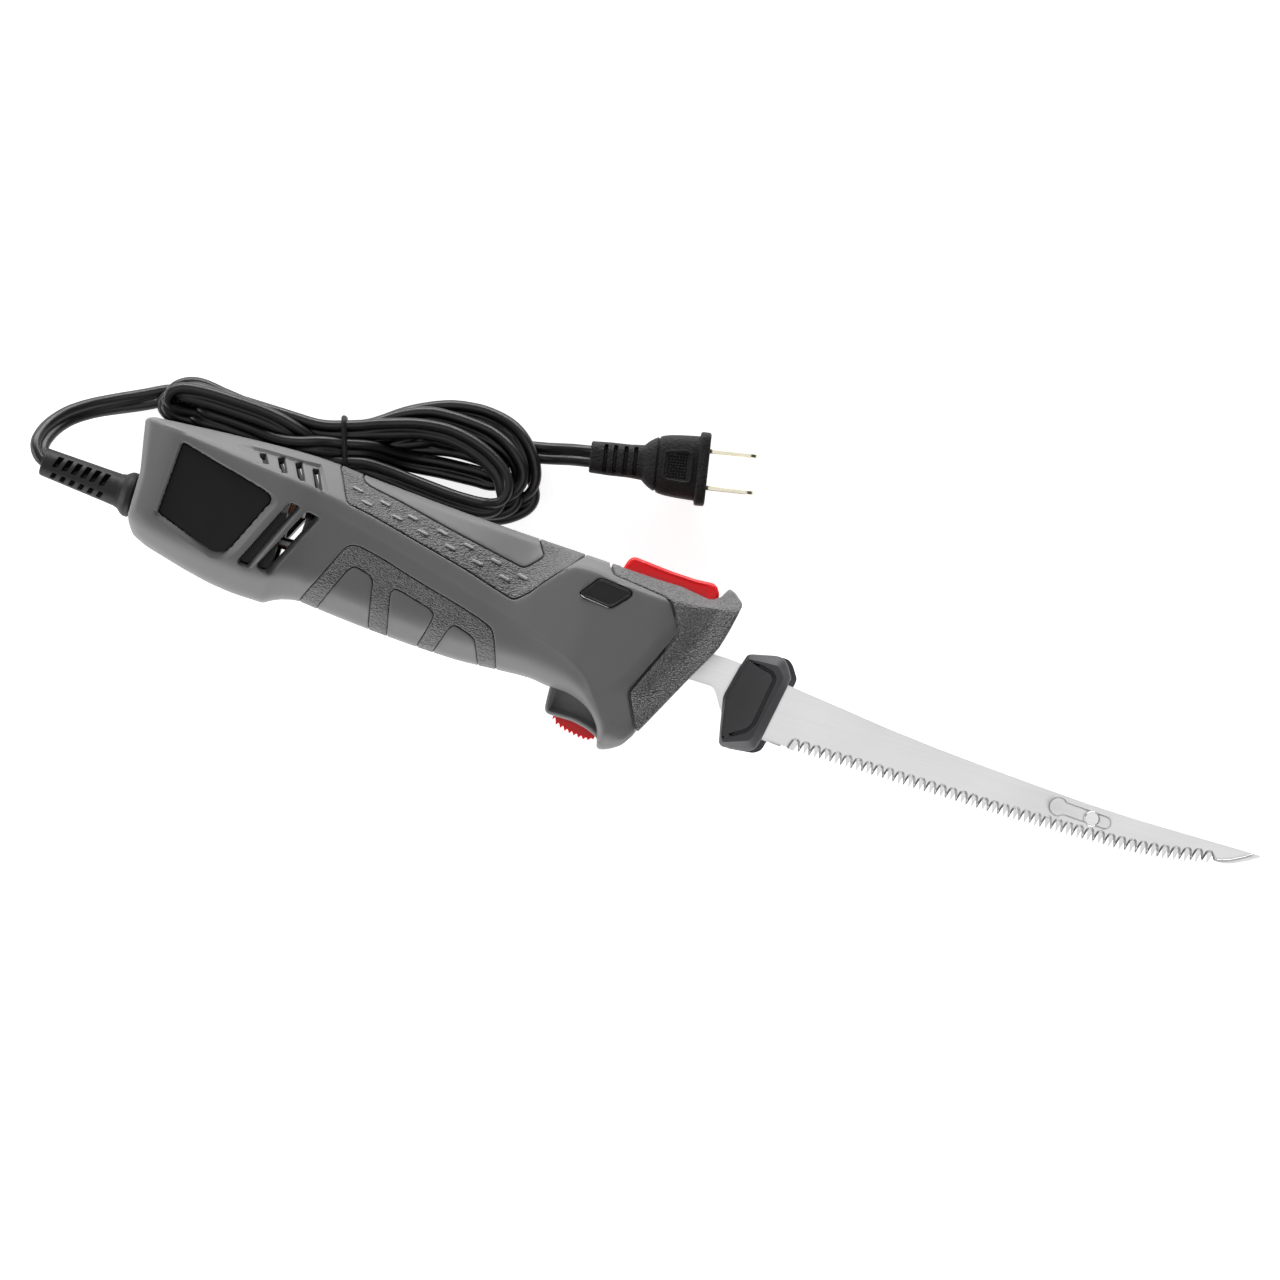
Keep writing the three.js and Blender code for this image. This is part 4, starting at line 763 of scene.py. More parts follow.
# (u, v, height over the table in mm, lean of the flat side in degrees), from the strain relief to the plug: four loops and a last run
CORD_KNOTS = [
    (-27.9, -3.2, 22.5, 20), (-32.4, -2.1, 22.2, 23), (-34.9, 1.1, 20.5, 34), (-35.0, 4.7, 17.5, 46), (-33.9, 8.1, 14.2, 50), (-31.9, 11.5, 11.1, 50),
    (-29.1, 14.7, 8.5, 52), (-25.6, 17.5, 6.3, 54), (-21.7, 20.0, 4.6, 58), (-17.4, 22.3, 3.3, 63), (-13.0, 24.5, 2.6, 72), (-8.5, 26.7, 2.2, 81),
    (-4.1, 29.0, 2.0, 87), (0.4, 31.3, 1.9, 89), (5.0, 32.8, 1.9, 90), (10.0, 33.8, 1.9, 90), (14.8, 34.1, 1.9, 90), (19.8, 33.7, 1.9, 90),
    (24.8, 33.4, 1.9, 90), (29.8, 33.5, 1.9, 90), (34.8, 33.5, 1.9, 90), (39.8, 33.4, 1.9, 90), (44.8, 33.4, 1.9, 90), (49.8, 33.5, 2.0, 89),
    (55.0, 33.2, 2.5, 86), (58.8, 32.7, 3.1, 81), (64.2, 32.9, 4.0, 73), (69.0, 34.2, 3.6, 71), (73.6, 35.7, 2.8, 74), (78.3, 37.6, 2.3, 81),
    (82.8, 39.4, 2.1, 86), (87.6, 40.9, 2.1, 85), (92.2, 41.9, 2.8, 65), (96.8, 42.6, 3.5, 44), (101.8, 43.3, 3.4, 43), (106.8, 43.5, 3.3, 46),
    (111.7, 43.2, 3.2, 46), (116.5, 42.1, 3.4, 35), (120.1, 39.2, 3.7, -12), (116.8, 36.6, 3.0, -54), (112.0, 36.3, 2.6, -71), (107.0, 36.1, 2.4, -77),
    (102.1, 35.8, 2.3, -78), (97.1, 35.4, 2.5, -74), (92.2, 34.8, 3.0, -69), (87.3, 34.3, 4.1, -65), (82.7, 34.1, 5.9, -60), (78.3, 34.2, 8.2, -57),
    (73.9, 34.1, 10.5, -54), (69.5, 33.2, 12.0, -54), (64.9, 31.9, 12.7, -59), (59.6, 30.8, 13.7, -67), (55.4, 29.8, 14.8, -60), (50.9, 28.5, 15.1, -45),
    (46.0, 27.6, 14.6, -34), (41.1, 27.1, 13.9, -33), (36.1, 27.2, 13.3, -44), (31.1, 27.4, 13.1, -53), (26.1, 27.5, 13.1, -60), (21.2, 27.6, 13.2, -65),
    (16.2, 27.6, 13.3, -71), (12.2, 28.4, 11.3, -70), (11.0, 29.6, 8.2, -34), (12.9, 32.3, 5.3, 80), (17.4, 34.1, 5.5, 88), (22.2, 34.9, 5.5, 80),
    (27.2, 35.2, 5.4, 76), (32.1, 35.2, 5.4, 76), (37.2, 35.2, 5.4, 77), (42.2, 35.1, 5.3, 78), (47.2, 35.1, 5.2, 78), (52.1, 35.2, 5.3, 73),
    (56.8, 36.3, 5.3, 51), (61.0, 38.0, 5.2, 27), (65.9, 39.6, 4.7, 30), (70.5, 41.5, 3.8, 40), (74.6, 43.9, 3.1, 54), (78.7, 46.8, 2.7, 67),
    (82.8, 49.5, 2.4, 74), (87.2, 51.9, 2.3, 78), (91.8, 54.0, 2.3, 79), (96.5, 55.6, 2.3, 79), (101.4, 56.5, 2.3, 78), (106.3, 56.9, 2.5, 73),
    (111.3, 56.5, 3.1, 70), (115.9, 55.4, 4.3, 71), (120.1, 53.2, 5.6, 73), (123.8, 50.0, 6.1, 67), (126.8, 46.2, 5.8, 58), (129.1, 41.9, 4.9, 35),
    (130.4, 37.3, 3.7, -16), (129.7, 32.8, 2.5, -72), (126.8, 29.3, 2.0, -89), (122.6, 26.5, 1.9, -90), (118.0, 24.8, 1.9, -90), (113.1, 24.1, 1.9, -90),
    (108.1, 24.0, 1.9, -90), (103.1, 24.2, 2.0, -89), (98.1, 24.7, 2.1, -86), (93.2, 25.5, 2.1, -84), (88.3, 26.3, 2.2, -81), (83.3, 27.0, 2.4, -77),
    (78.3, 27.6, 2.8, -71), (73.5, 27.9, 3.5, -66), (68.7, 27.2, 4.2, -64), (63.7, 26.0, 4.1, -63), (59.1, 25.8, 3.3, -64), (54.2, 26.2, 2.6, -72),
    (49.1, 26.2, 2.3, -79), (44.2, 26.0, 2.1, -84), (39.2, 25.9, 2.1, -86), (34.2, 25.9, 2.1, -86), (29.2, 25.9, 2.1, -85), (24.2, 25.7, 2.1, -84),
    (19.2, 25.3, 2.1, -85), (14.3, 25.2, 2.0, -87), (9.4, 25.4, 2.2, -86), (4.6, 26.1, 3.3, -80), (1.3, 28.1, 5.3, -66), (1.6, 32.2, 6.9, 4),
    (5.1, 35.4, 7.5, 44), (9.5, 36.7, 8.5, 63), (14.2, 36.5, 9.1, 74), (19.2, 35.8, 9.2, 76), (24.1, 35.3, 9.1, 76), (29.1, 34.7, 9.0, 75),
    (34.1, 34.4, 8.9, 75), (39.1, 34.3, 8.8, 75), (44.1, 34.5, 8.8, 75), (49.1, 34.8, 8.8, 72), (54.0, 35.3, 8.9, 66), (58.9, 36.4, 9.1, 59),
    (63.6, 38.0, 9.0, 55), (68.2, 39.7, 8.4, 53), (72.4, 42.0, 7.4, 53), (76.5, 44.9, 6.6, 58), (80.7, 47.5, 6.3, 64), (85.2, 49.6, 6.2, 69),
    (89.9, 51.0, 6.3, 76), (94.8, 51.5, 6.2, 80), (99.8, 51.6, 6.0, 78), (104.8, 51.4, 5.9, 75), (109.8, 50.9, 6.0, 68), (114.6, 49.6, 6.5, 55),
    (119.0, 47.6, 7.0, 40), (122.7, 44.5, 7.0, 35), (125.2, 40.3, 6.7, 31), (125.6, 35.5, 6.5, -9), (124.4, 30.9, 5.8, -73), (121.1, 27.9, 5.2, -87),
    (116.4, 26.3, 5.3, -81), (111.5, 25.8, 5.4, -78), (106.5, 25.8, 5.4, -77), (101.5, 26.0, 5.5, -77), (96.5, 26.3, 5.7, -78), (91.5, 26.6, 5.9, -79),
    (86.5, 26.9, 6.1, -76), (81.5, 27.2, 6.5, -68), (76.7, 27.6, 7.0, -61), (71.8, 27.7, 7.6, -60), (66.8, 26.7, 7.9, -61), (61.9, 25.8, 7.4, -59),
    (57.2, 25.3, 6.5, -64), (52.2, 24.9, 5.9, -72), (47.3, 24.8, 5.6, -78), (42.2, 24.8, 5.5, -83), (37.2, 24.8, 5.5, -84), (32.2, 24.9, 5.5, -83),
    (27.3, 25.2, 5.7, -81), (22.3, 25.5, 5.8, -79), (17.4, 25.8, 6.0, -75), (12.1, 26.4, 6.7, -67), (8.8, 27.6, 7.7, -54), (6.2, 31.8, 9.6, 42),
    (8.8, 34.6, 11.6, 72), (13.2, 35.2, 12.5, 75), (18.1, 34.9, 12.7, 75), (23.1, 34.7, 12.8, 74), (28.1, 34.7, 12.7, 73), (33.1, 34.9, 12.6, 72),
    (38.1, 35.1, 12.5, 70), (43.1, 35.2, 12.5, 64), (48.1, 35.3, 12.6, 55), (53.0, 35.5, 12.7, 50), (58.0, 36.3, 12.6, 53), (62.7, 37.7, 12.7, 57),
    (67.5, 39.3, 12.5, 60), (72.2, 41.1, 12.1, 67), (76.8, 42.7, 11.5, 74), (81.5, 44.3, 11.0, 74), (86.3, 45.7, 10.3, 70), (91.1, 46.6, 9.7, 67),
    (96.1, 47.0, 9.4, 67), (101.1, 46.6, 9.3, 66), (105.9, 45.6, 9.2, 65), (110.7, 44.0, 9.2, 64), (115.1, 41.8, 9.4, 62), (118.9, 38.8, 9.7, 57),
    (121.2, 34.6, 10.3, 41), (121.1, 30.0, 10.4, -9), (117.6, 26.9, 9.5, -59), (112.9, 26.0, 9.2, -70), (107.9, 25.8, 9.1, -73), (103.0, 25.8, 9.2, -75),
    (98.0, 26.1, 9.3, -76), (93.0, 26.4, 9.5, -77), (88.0, 26.8, 9.7, -75), (83.0, 27.3, 10.0, -70), (78.0, 27.6, 10.6, -62), (73.3, 27.7, 11.4, -52),
    (68.4, 26.8, 12.0, -43), (63.6, 25.5, 11.6, -40), (59.0, 25.1, 10.7, -45), (54.0, 25.4, 9.8, -57), (49.2, 25.7, 9.3, -68), (44.2, 26.1, 9.0, -79),
    (39.2, 26.3, 8.8, -83), (34.2, 26.3, 8.8, -82), (29.2, 26.4, 8.9, -81), (24.2, 26.6, 9.2, -78), (19.2, 26.7, 9.5, -75), (13.4, 26.6, 10.4, -65),
    (10.4, 26.5, 11.2, -58), (4.9, 26.8, 12.6, -44), (1.8, 29.4, 14.1, -16), (4.0, 32.7, 15.7, 38), (8.6, 34.0, 16.1, 63), (13.5, 34.4, 16.3, 70),
    (18.5, 34.5, 16.4, 72), (23.5, 34.4, 16.5, 72), (28.5, 34.3, 16.4, 73), (33.5, 34.1, 16.3, 73), (38.4, 33.6, 15.9, 71), (43.3, 32.8, 15.2, 64),
    (48.0, 31.8, 13.9, 49), (52.6, 31.0, 11.7, 26), (56.6, 30.9, 9.7, 19), (61.4, 31.5, 8.6, 28), (66.2, 32.8, 8.3, 39), (70.8, 34.6, 7.8, 44),
    (75.1, 36.8, 7.0, 46), (79.4, 39.3, 6.4, 56), (83.9, 41.4, 5.9, 70), (88.8, 43.7, 4.8, 82), (91.9, 45.4, 3.5, 83), (96.5, 47.6, 2.1, 86),
    (101.3, 48.8, 1.9, 90), (106.2, 49.3, 1.9, 90), (111.2, 49.1, 1.9, 90), (116.2, 48.8, 1.9, 90), (121.1, 49.2, 1.9, 90), (126.1, 50.0, 2.0, 89),
    (131.0, 51.0, 2.7, 87), (135.5, 52.1, 4.1, 87), (140.0, 53.2, 6.1, 88), (144.6, 54.1, 7.8, 89), (149.4, 55.1, 8.4, 90),
]


def spline(points, step):
    """Even points along a smooth curve through rows of any width."""
    p = np.asarray(points, float)
    n = len(p)
    t = np.concatenate([[0], np.cumsum(np.linalg.norm(np.diff(p[:, :3], axis=0), axis=1) ** 0.75)])
    h = np.diff(t)
    a = np.zeros((n, n))
    b = np.zeros_like(p)
    a[0, 0] = a[-1, -1] = 1
    for i in range(1, n - 1):
        a[i, i - 1], a[i, i], a[i, i + 1] = h[i - 1], 2 * (h[i - 1] + h[i]), h[i]
        b[i] = 6 * ((p[i + 1] - p[i]) / h[i] - (p[i] - p[i - 1]) / h[i - 1])
    m = np.linalg.solve(a, b)
    q = np.linspace(0, t[-1], n * 40)
    i = np.clip(np.searchsorted(t, q, side="right") - 1, 0, n - 2)
    f, g = (t[i + 1] - q)[:, None], (q - t[i])[:, None]
    hi = h[i][:, None]
    c = m[i] * f**3 / (6 * hi) + m[i + 1] * g**3 / (6 * hi) + (p[i] / hi - m[i] * hi / 6) * f + (p[i + 1] / hi - m[i + 1] * hi / 6) * g
    s = np.concatenate([[0], np.cumsum(np.linalg.norm(np.diff(c[:, :3], axis=0), axis=1))])
    k = np.linspace(0, s[-1], int(s[-1] / step) + 1)
    return np.stack([np.interp(k, s, c[:, j]) for j in range(p.shape[1])], 1)


def cross_axes(path, lean):
    """The wide and the thin direction of a flat cord that leans to the left of its path by lean degrees."""
    d = np.gradient(path, axis=0)
    d /= np.linalg.norm(d, axis=1, keepdims=True)
    left = np.stack([-d[:, 1], d[:, 0], np.zeros(len(d))], 1)
    left /= np.maximum(np.linalg.norm(left, axis=1, keepdims=True), 1e-9)
    a = np.radians(lean)[:, None]
    wide = np.cos(a) * np.array([0, 0, 1.0]) + np.sin(a) * left
    wide -= (wide * d).sum(1, keepdims=True) * d
    wide /= np.linalg.norm(wide, axis=1, keepdims=True)
    return wide, np.cross(d, wide)


def tube(path, section, lean):
    wide, thin = cross_axes(path, lean)
    n, m = len(path), len(section)
    v = (path[:, None] + section[None, :, 0, None] * wide[:, None] + section[None, :, 1, None] * thin[:, None]).reshape(-1, 3)
    f = []
    for r in range(n - 1):
        for i in range(m):
            j = (i + 1) % m
            f.append([r * m + i, r * m + j, (r + 1) * m + j, (r + 1) * m + i])
    f.append([i for i in reversed(range(m))])
    f.append([(n - 1) * m + i for i in range(m)])
    return v, f


def twin_section():
    """Two round cores side by side with a shallow groove between them."""
    r = CORD_T / 2
    a = np.radians(np.linspace(-148, 148, 17))
    right = np.stack([r + r * np.cos(a), r * np.sin(a)], 1)
    leftp = np.stack([-r - r * np.cos(a), -r * np.sin(a)], 1)
    return np.vstack([right, leftp])


def make_cord():
    k = np.array(CORD_KNOTS, float)
    c = spline(np.column_stack([k[:, :2], k[:, 2] - HALF, k[:, 3] * 0.2]), 1.0)
    path, lean = c[:, :3], c[:, 3] / 0.2
    v, f = tube(path, twin_section(), lean)
    ob = piece("power_cord", v, f, M_CORD, "handle", ("cord_lead", "cord_hank", "cord_tail"), sharp=50, tol=0)
    length = float(np.linalg.norm(np.diff(world(path), axis=0), axis=1).sum())
    return ob, path, lean, length


def hull(points):
    """Convex outline of plane points."""
    p = sorted(map(tuple, points))

    def half(seq):
        out = []
        for q in seq:
            while len(out) > 1 and (out[-1][0] - out[-2][0]) * (q[1] - out[-2][1]) - (out[-1][1] - out[-2][1]) * (q[0] - out[-2][0]) <= 0:
                out.pop()
            out.append(q)
        return out[:-1]

    return np.array(half(p) + half(p[::-1]))


def make_tie(cord_path, lean):
    """A thin tie drawn tight round the strands at the narrow part of the hank."""
    e = np.append(TIE_D, 0.0)
    o = np.append(TIE_A, -HALF)
    up = np.array([0, 0, 1.0])
    side = np.cross(e, up)
    rel = cord_path - o
    s, t = rel @ side, rel @ e
    wide, _ = cross_axes(cord_path, lean)
    hit = np.nonzero((s[:-1] * s[1:] <= 0) & (t[:-1] > -14) & (t[:-1] < 24))[0]
    r = 0.85
    rim = []
    for i in hit:
        for core in (-1, 1):
            c = rel[i] + core * 0.5 * CORD_T * wide[i]
            rim.append(circle((c @ e, max(c[2], CORD_T / 2 + 1.7)), CORD_T / 2 + r + 0.03, 40))
    ring = resample(hull(np.vstack(rim)), 0.5)
    path = o + ring[:, :1] * e + ring[:, 1:] * up
    n, m = len(path), 12
    d = np.roll(path, -1, 0) - np.roll(path, 1, 0)
    d /= np.linalg.norm(d, axis=1, keepdims=True)
    out = np.cross(d, side)
    v, f = [], []
    for i in range(n):
        for j in range(m):
            a = 2 * math.pi * j / m
            v.append(path[i] + r * (1.1 * math.cos(a) * side + math.sin(a) * out[i]))
    for i in range(n):
        for j in range(m):
            k, q = (i + 1) % n, (j + 1) % m
            f.append([i * m + j, k * m + j, k * m + q, i * m + q])
    return piece("hank_tie", np.array(v), f, M_BLACK, "handle", ("cord_tie",), sharp=60, tol=0)


def make_strain_relief():
    """Tapered sleeve that droops a little, with two rows of slanted flexing slots on each side, and a flange at the handle."""
    prof = np.array([
        [-32.2, 3.2], [-32.2, 4.3], [-32.0, 4.65], [-31.4, 4.85], [-20, 5.2], [-8, 5.55], [-4.6, 5.7], [-3.2, 6.1],
        [-2.0, 7.1], [-1.2, 7.6], [-0.6, 7.75], [0.6, 7.75], [1.0, 7.5], [1.2, 6.9], [1.3, 4.6], [6.2, 4.6], [6.2, 6.2], [7.8, 6.2], [7.8, 0.5],
    ])
    rows = []
    for a, b in zip(prof[:-1], prof[1:]):
        n = max(1, int(math.hypot(*(b - a)) / 0.22))
        for i in range(n):
            rows.append(a + (b - a) * i / n)
    rows.append(prof[-1])
    rows = np.array(rows)
    seg = 160
    th = np.linspace(0, 2 * np.pi, seg, endpoint=False)     # from +w towards +v
    verts = []
    deg = np.degrees(th)
    fold = np.where(deg > 180, deg - 360, deg)
    near = np.where(np.abs(fold) > 90, np.sign(fold) * 180 - fold, fold)   # both faces alike
    upper = smooth((near + 9) / 4) * smooth((45 - near) / 4)
    lower = smooth((-near - 30) / 4) * smooth((near + 62) / 4)
    lean = -1.5 * (0.66 - np.radians(near))
    for x, r in rows:
        cut = np.zeros(seg)
        for i in range(6):
            c = (-29.0 + 3.78 * i) * K
            cut = np.maximum(cut, upper * smooth((0.92 - np.abs(x - c - lean)) / 0.24))
            cut = np.maximum(cut, lower * smooth((0.8 - np.abs(x - c - lean - 1.3)) / 0.24))
        rr = r - 2.9 * cut if -31 < x < -5 else np.full(seg, r)
        verts.append(np.stack([np.full(seg, x), -5.25 - 0.0636 * x + rr * np.sin(th), rr * np.cos(th)], 1))
    v = np.vstack(verts)
    f = []
    m = len(rows)
    for k in range(m - 1):
        for i in range(seg):
            j = (i + 1) % seg
            f.append([k * seg + i, k * seg + j, (k + 1) * seg + j, (k + 1) * seg + i])
    f.append([i for i in reversed(range(seg))])
    f.append([(m - 1) * seg + i for i in range(seg)])
    return piece("strain_relief_sleeve", v, [g[::-1] for g in f], M_SLEEVE, "handle", ("strain_relief",), sharp=40)


PLUG_ANGLE = math.radians(11)
PLUG_FACE = np.array([206.75, 68.95]) * K
PLUG_Z = 8.4 - HALF


def plug_place(p):
    p = np.asarray(p, float)
    c, s = math.cos(PLUG_ANGLE), math.sin(PLUG_ANGLE)
    return np.column_stack([PLUG_FACE[0] + p[:, 0] * c - p[:, 1] * s, PLUG_FACE[1] + p[:, 0] * s + p[:, 1] * c, PLUG_Z + p[:, 2]])


def super_ring(a, b, e, n=64):
    t = np.linspace(0, 2 * np.pi, n, endpoint=False)
    c, s = np.cos(t), np.sin(t)
    return np.stack([a * np.sign(c) * np.abs(c) ** (2 / e), b * np.sign(s) * np.abs(s) ** (2 / e)], 1)


def make_plug():
    xs, ha, hb, ex, slots = [], [], [], [], []

    def row(x, a, b, e, slot=0.0):
        xs.append(x), ha.append(a), hb.append(b), ex.append(e), slots.append(slot)

    row(-40.8, 4.0, 3.1, 3)
    row(-40.8, 5.0, 4.0, 3)
    row(-40.4, 5.45, 4.4, 3)
    x = -40.0
    grooves = [-35.6, -32.2, -28.6, -25.2]
    while x < -22.6:
        cut = max(float(smooth((0.72 - abs(x - g)) / 0.25)) for g in grooves)
        a = np.interp(x, [-40, -34, -27, -22.6], [5.5, 5.75, 5.75, 6.1])
        row(x, a, np.interp(x, [-40, -22.6], [4.4, 4.7]), 3, cut)
        x += 0.16
    body_x = [-22.4, -21.4, -20.4, -19, -17.6, -16, -14, -11, -8, -5, -3.9, -3.8]
    body_a = [6.25, 7.2, 8.0, 8.9, 9.55, 10.1, 10.5, 10.8, 11.0, 11.15, 11.2, 11.2]
    body_b = [4.75, 5.3, 5.7, 6.0, 6.15, 6.2, 6.2, 6.2, 6.2, 6.25, 6.3, 6.3]
    for q in np.arange(-22.4, -3.75, 0.25):
        a = np.interp(q, body_x, body_a)
        seam = 0.5 * float(smooth((0.42 - abs(q + 17.6)) / 0.22))
        row(q, a - seam, np.interp(q, body_x, body_b) - seam, np.interp(q, [-22.4, -16], [3, 3.6]))
    for d, q in [(0.9, -3.7), (0.35, -3.65), (0.0, -3.2), (0.0, -0.7), (0.3, -0.2), (0.9, 0.0), (4.0, 0.0)]:
        row(q, 12.7 - d, 8.1 - d, 5.5)
    seg = 72
    v, f = [], []
    for x, a, b, e, slot in zip(xs, ha, hb, ex, slots):
        r = super_ring(a, b, e, seg)
        r[:, 1] -= np.sign(r[:, 1]) * 1.7 * slot * smooth((0.86 - np.abs(r[:, 0]) / a) / 0.1)
        v.append(np.column_stack([np.full(seg, x), r]))
    m = len(xs)
    for k in range(m - 1):
        for i in range(seg):
            j = (i + 1) % seg
            f.append([k * seg + i, (k + 1) * seg + i, (k + 1) * seg + j, k * seg + j])
    f.append([i for i in range(seg)])
    f.append([(m - 1) * seg + i for i in reversed(range(seg))])
    parts = [(np.vstack(v), [g[::-1] for g in f])]
    # raised pad with a rim and a grid of small pits on both faces
    pad = np.array([[-15.6, 5.0], [-8.0, 6.0], [-5.4, 5.2], [-5.2, -5.2], [-7.0, -6.1], [-14.4, -5.6], [-15.8, -4.4]])
    pad = resample(fillet(pad, 1.6, 6), 0.4)
    net = Net(pad)
    net.chain(pad, clip=False)
    for d in (0.12, 0.35, 0.75, 1.0):
        net.chain(offset(pad, -d))
    pits = np.array([[-14.6 + 0.98 * i, -5.0 + 1.0 * j] for i in range(10) for j in range(11)])
    pits = pits[signed(pad, pits) < -1.55]
    for c in pits:
        net.chain(circle(c, 0.43, 8))
        net.chain(circle(c, 0.27, 8))
    net.fill(0.9, 0.3)
    q, t = net.triangles()
    d, _ = segment_distance(q, pad)
    dp = np.sqrt(((q[:, None] - pits[None]) ** 2).sum(2)).min(1)
    h = 6.95 + 0.3 * smooth((1.0 - d) / 0.25) - 0.8 * lip(d, 0.35) - 0.7 * smooth((0.43 - dp) / 0.16)
    pv, pf = close_shell(np.column_stack([q, h]), np.column_stack([q, np.full(len(q), 5.4)]), t)
    parts.append((pv, pf))
    parts.append((pv * [1, 1, -1], [g[::-1] for g in pf]))
    v, f = join_lists(parts)
    return piece("plug_shell", plug_place(v), f, M_PLUG, "handle", ("plug_body",), sharp=38)


def make_pins():
    out = []
    for name, s in (("plug_pin_a", 1), ("plug_pin_b", -1)):
        shape = fillet(np.array([[-0.5, -3.15], [14.6, -3.15], [16.8, -1.3], [16.8, 1.3], [14.6, 3.15], [-0.5, 3.15]]), 1.2, 6)
        hole = circle((12.6, 0.0), 1.55, 28)
        net = Net(resample(shape, 0.6))
        net.chain(net.domain, clip=False)
        net.chain(offset(net.domain, -0.25))
        for r in (1.55, 1.8):
            net.chain(circle((12.6, 0.0), r, 28))
        net.fill(0.9, 0.4)
        p, t = net.triangles([hole])
        d = np.minimum(-signed(net.domain, p, 99), np.abs(np.hypot(p[:, 0] - 12.6, p[:, 1]) - 1.55))
        h = 0.76 - 0.22 * (1 - np.clip(d / 0.25, 0, 1))
        y = s * 12.7 / 2
        front = np.column_stack([p[:, 0], y + h, p[:, 1]])
        rear = np.column_stack([p[:, 0], y - h, p[:, 1]])
        v, f = close_shell(front, rear, t[:, ::-1])
        out.append(piece(name.replace("plug_", "flat_"), plug_place(v), f, M_PIN, "handle", (name,), sharp=30))
    return out


cord, cord_path, cord_lean, cord_length = make_cord()
tie = make_tie(cord_path, cord_lean)
plug = make_plug()
pins = make_pins()
make_strain_relief()


# ------------------------------------------------------------------ handle surface
SETBACK = [0, 2.2, 1.6, 1.1, 5.5, 4.0, 0]
NB = 9


def sections(u):
    """(v, w) along the right half of the section at each u, from the top to the bottom."""
    u = np.asarray(u, float)
    zero = np.zeros_like(u)
    c = np.stack([
        np.stack([TOP(u), zero], -1),
        np.stack([TOP(u) - 0.5, TOP_W(u)], -1),
        np.stack([SHOULDER_V(u), SHOULDER_W(u)], -1),
        np.stack([BELT_V(u), BELT_W(u)], -1),
        np.stack([LOW_V(u), LOW_W(u)], -1),
        np.stack([BOTTOM(u) + 0.4, BOTTOM_W(u)], -1),
        np.stack([BOTTOM(u), zero], -1),
    ], 1)
    out = [c[:, :1]]
    t = np.linspace(0, 1, NB)[None, :, None]
    for i in range(1, 6):
        a, b, e = c[:, i - 1], c[:, i], c[:, i + 1]
        la = np.linalg.norm(b - a, axis=1, keepdims=True)
        lb = np.linalg.norm(e - b, axis=1, keepdims=True)
        s = b + (a - b) * np.minimum(SETBACK[i], 0.42 * la) / la
        f = b + (e - b) * np.minimum(SETBACK[i], 0.42 * lb) / lb
        out.append((1 - t) ** 2 * s[:, None] + 2 * t * (1 - t) * b[:, None] + t * t * f[:, None])
    out.append(c[:, 6:])
    return np.concatenate(out, 1)


def arcs(u):
    p = sections(u)
    s = np.concatenate([np.zeros((len(p), 1)), np.cumsum(np.linalg.norm(np.diff(p, axis=1), axis=2), axis=1)], 1)
    v = p[:, :, 0]
    k = np.clip((v >= 0).sum(1) - 1, 0, v.shape[1] - 2)
    r = np.arange(len(p))
    t = v[r, k] / (v[r, k] - v[r, k + 1])
    s0 = s[r, k] + t * (s[r, k + 1] - s[r, k])
    return p, s, s0


def base(q):
    """Points (u, v, w) of the plain surface at (u, arc length up from v = 0)."""
    out = np.zeros((len(q), 3))
    for i in range(0, len(q), 12000):
        u, y = q[i:i + 12000, 0], q[i:i + 12000, 1]
        p, s, s0 = arcs(u)
        a = s0 - y
        k = np.clip((s <= a[:, None]).sum(1) - 1, 0, s.shape[1] - 2)
        r = np.arange(len(u))
        t = ((a - s[r, k]) / np.maximum(s[r, k + 1] - s[r, k], 1e-9))[:, None]
        out[i:i + 12000, 0] = u
        out[i:i + 12000, 1:] = p[r, k] + t * (p[r, k + 1] - p[r, k])
    return out


def surface(q):
    e = 0.08
    p = base(q)
    du = base(q + [e, 0]) - base(q - [e, 0])
    dy = base(q + [0, e]) - base(q - [0, e])
    n = np.cross(du, dy)
    return p, n / np.linalg.norm(n, axis=1, keepdims=True)


def to_y(uv):
    """Side-view points (u, v) as (u, arc length), on past the seams for points outside."""
    uv = np.asarray(uv, float)
    p, s, s0 = arcs(uv[:, 0])
    v = p[:, :, 0]
    k = np.clip((v >= uv[:, 1:2]).sum(1) - 1, 0, v.shape[1] - 2)
    r = np.arange(len(uv))
    t = np.clip((v[r, k] - uv[:, 1]) / np.maximum(v[r, k] - v[r, k + 1], 1e-9), 0, 1)
    y = s0 - (s[r, k] + t * (s[r, k + 1] - s[r, k]))
    y = y + np.maximum(uv[:, 1] - v[:, 0], 0) - np.maximum(v[:, -1] - uv[:, 1], 0)
    return np.column_stack([uv[:, 0], y])


def seam_y(u, top, w=GAP_W):
    """Arc length where the surface passes a height w, near the top or the bottom seam."""
    u = np.atleast_1d(np.asarray(u, float))
    p, s, s0 = arcs(u)
    wv = p[:, :, 1]
    r = np.arange(len(u))
    if top:
        k = np.clip((np.cumsum(wv >= w, axis=1) == 0).sum(1) - 1, 0, wv.shape[1] - 2)
    else:
        k = np.clip(wv.shape[1] - 1 - (np.cumsum(wv[:, ::-1] >= w, axis=1) == 0).sum(1), 0, wv.shape[1] - 2)
    t = np.clip((w - wv[r, k]) / np.where(np.abs(wv[r, k + 1] - wv[r, k]) < 1e-9, 1e-9, wv[r, k + 1] - wv[r, k]), 0, 1)
    return s0 - (s[r, k] + t * (s[r, k + 1] - s[r, k]))


def on_sheet(outline, r=0.9, step=0.5, clamp=False):
    """A side-view outline laid on the surface: rounded corners, even points."""
    p = resample(fillet(outline, r, 5), 0.2)
    p = to_y(p)
    if clamp:
        p[:, 1] = np.clip(p[:, 1], seam_y(p[:, 0], False), seam_y(p[:, 0], True))
    return resample(p, step)


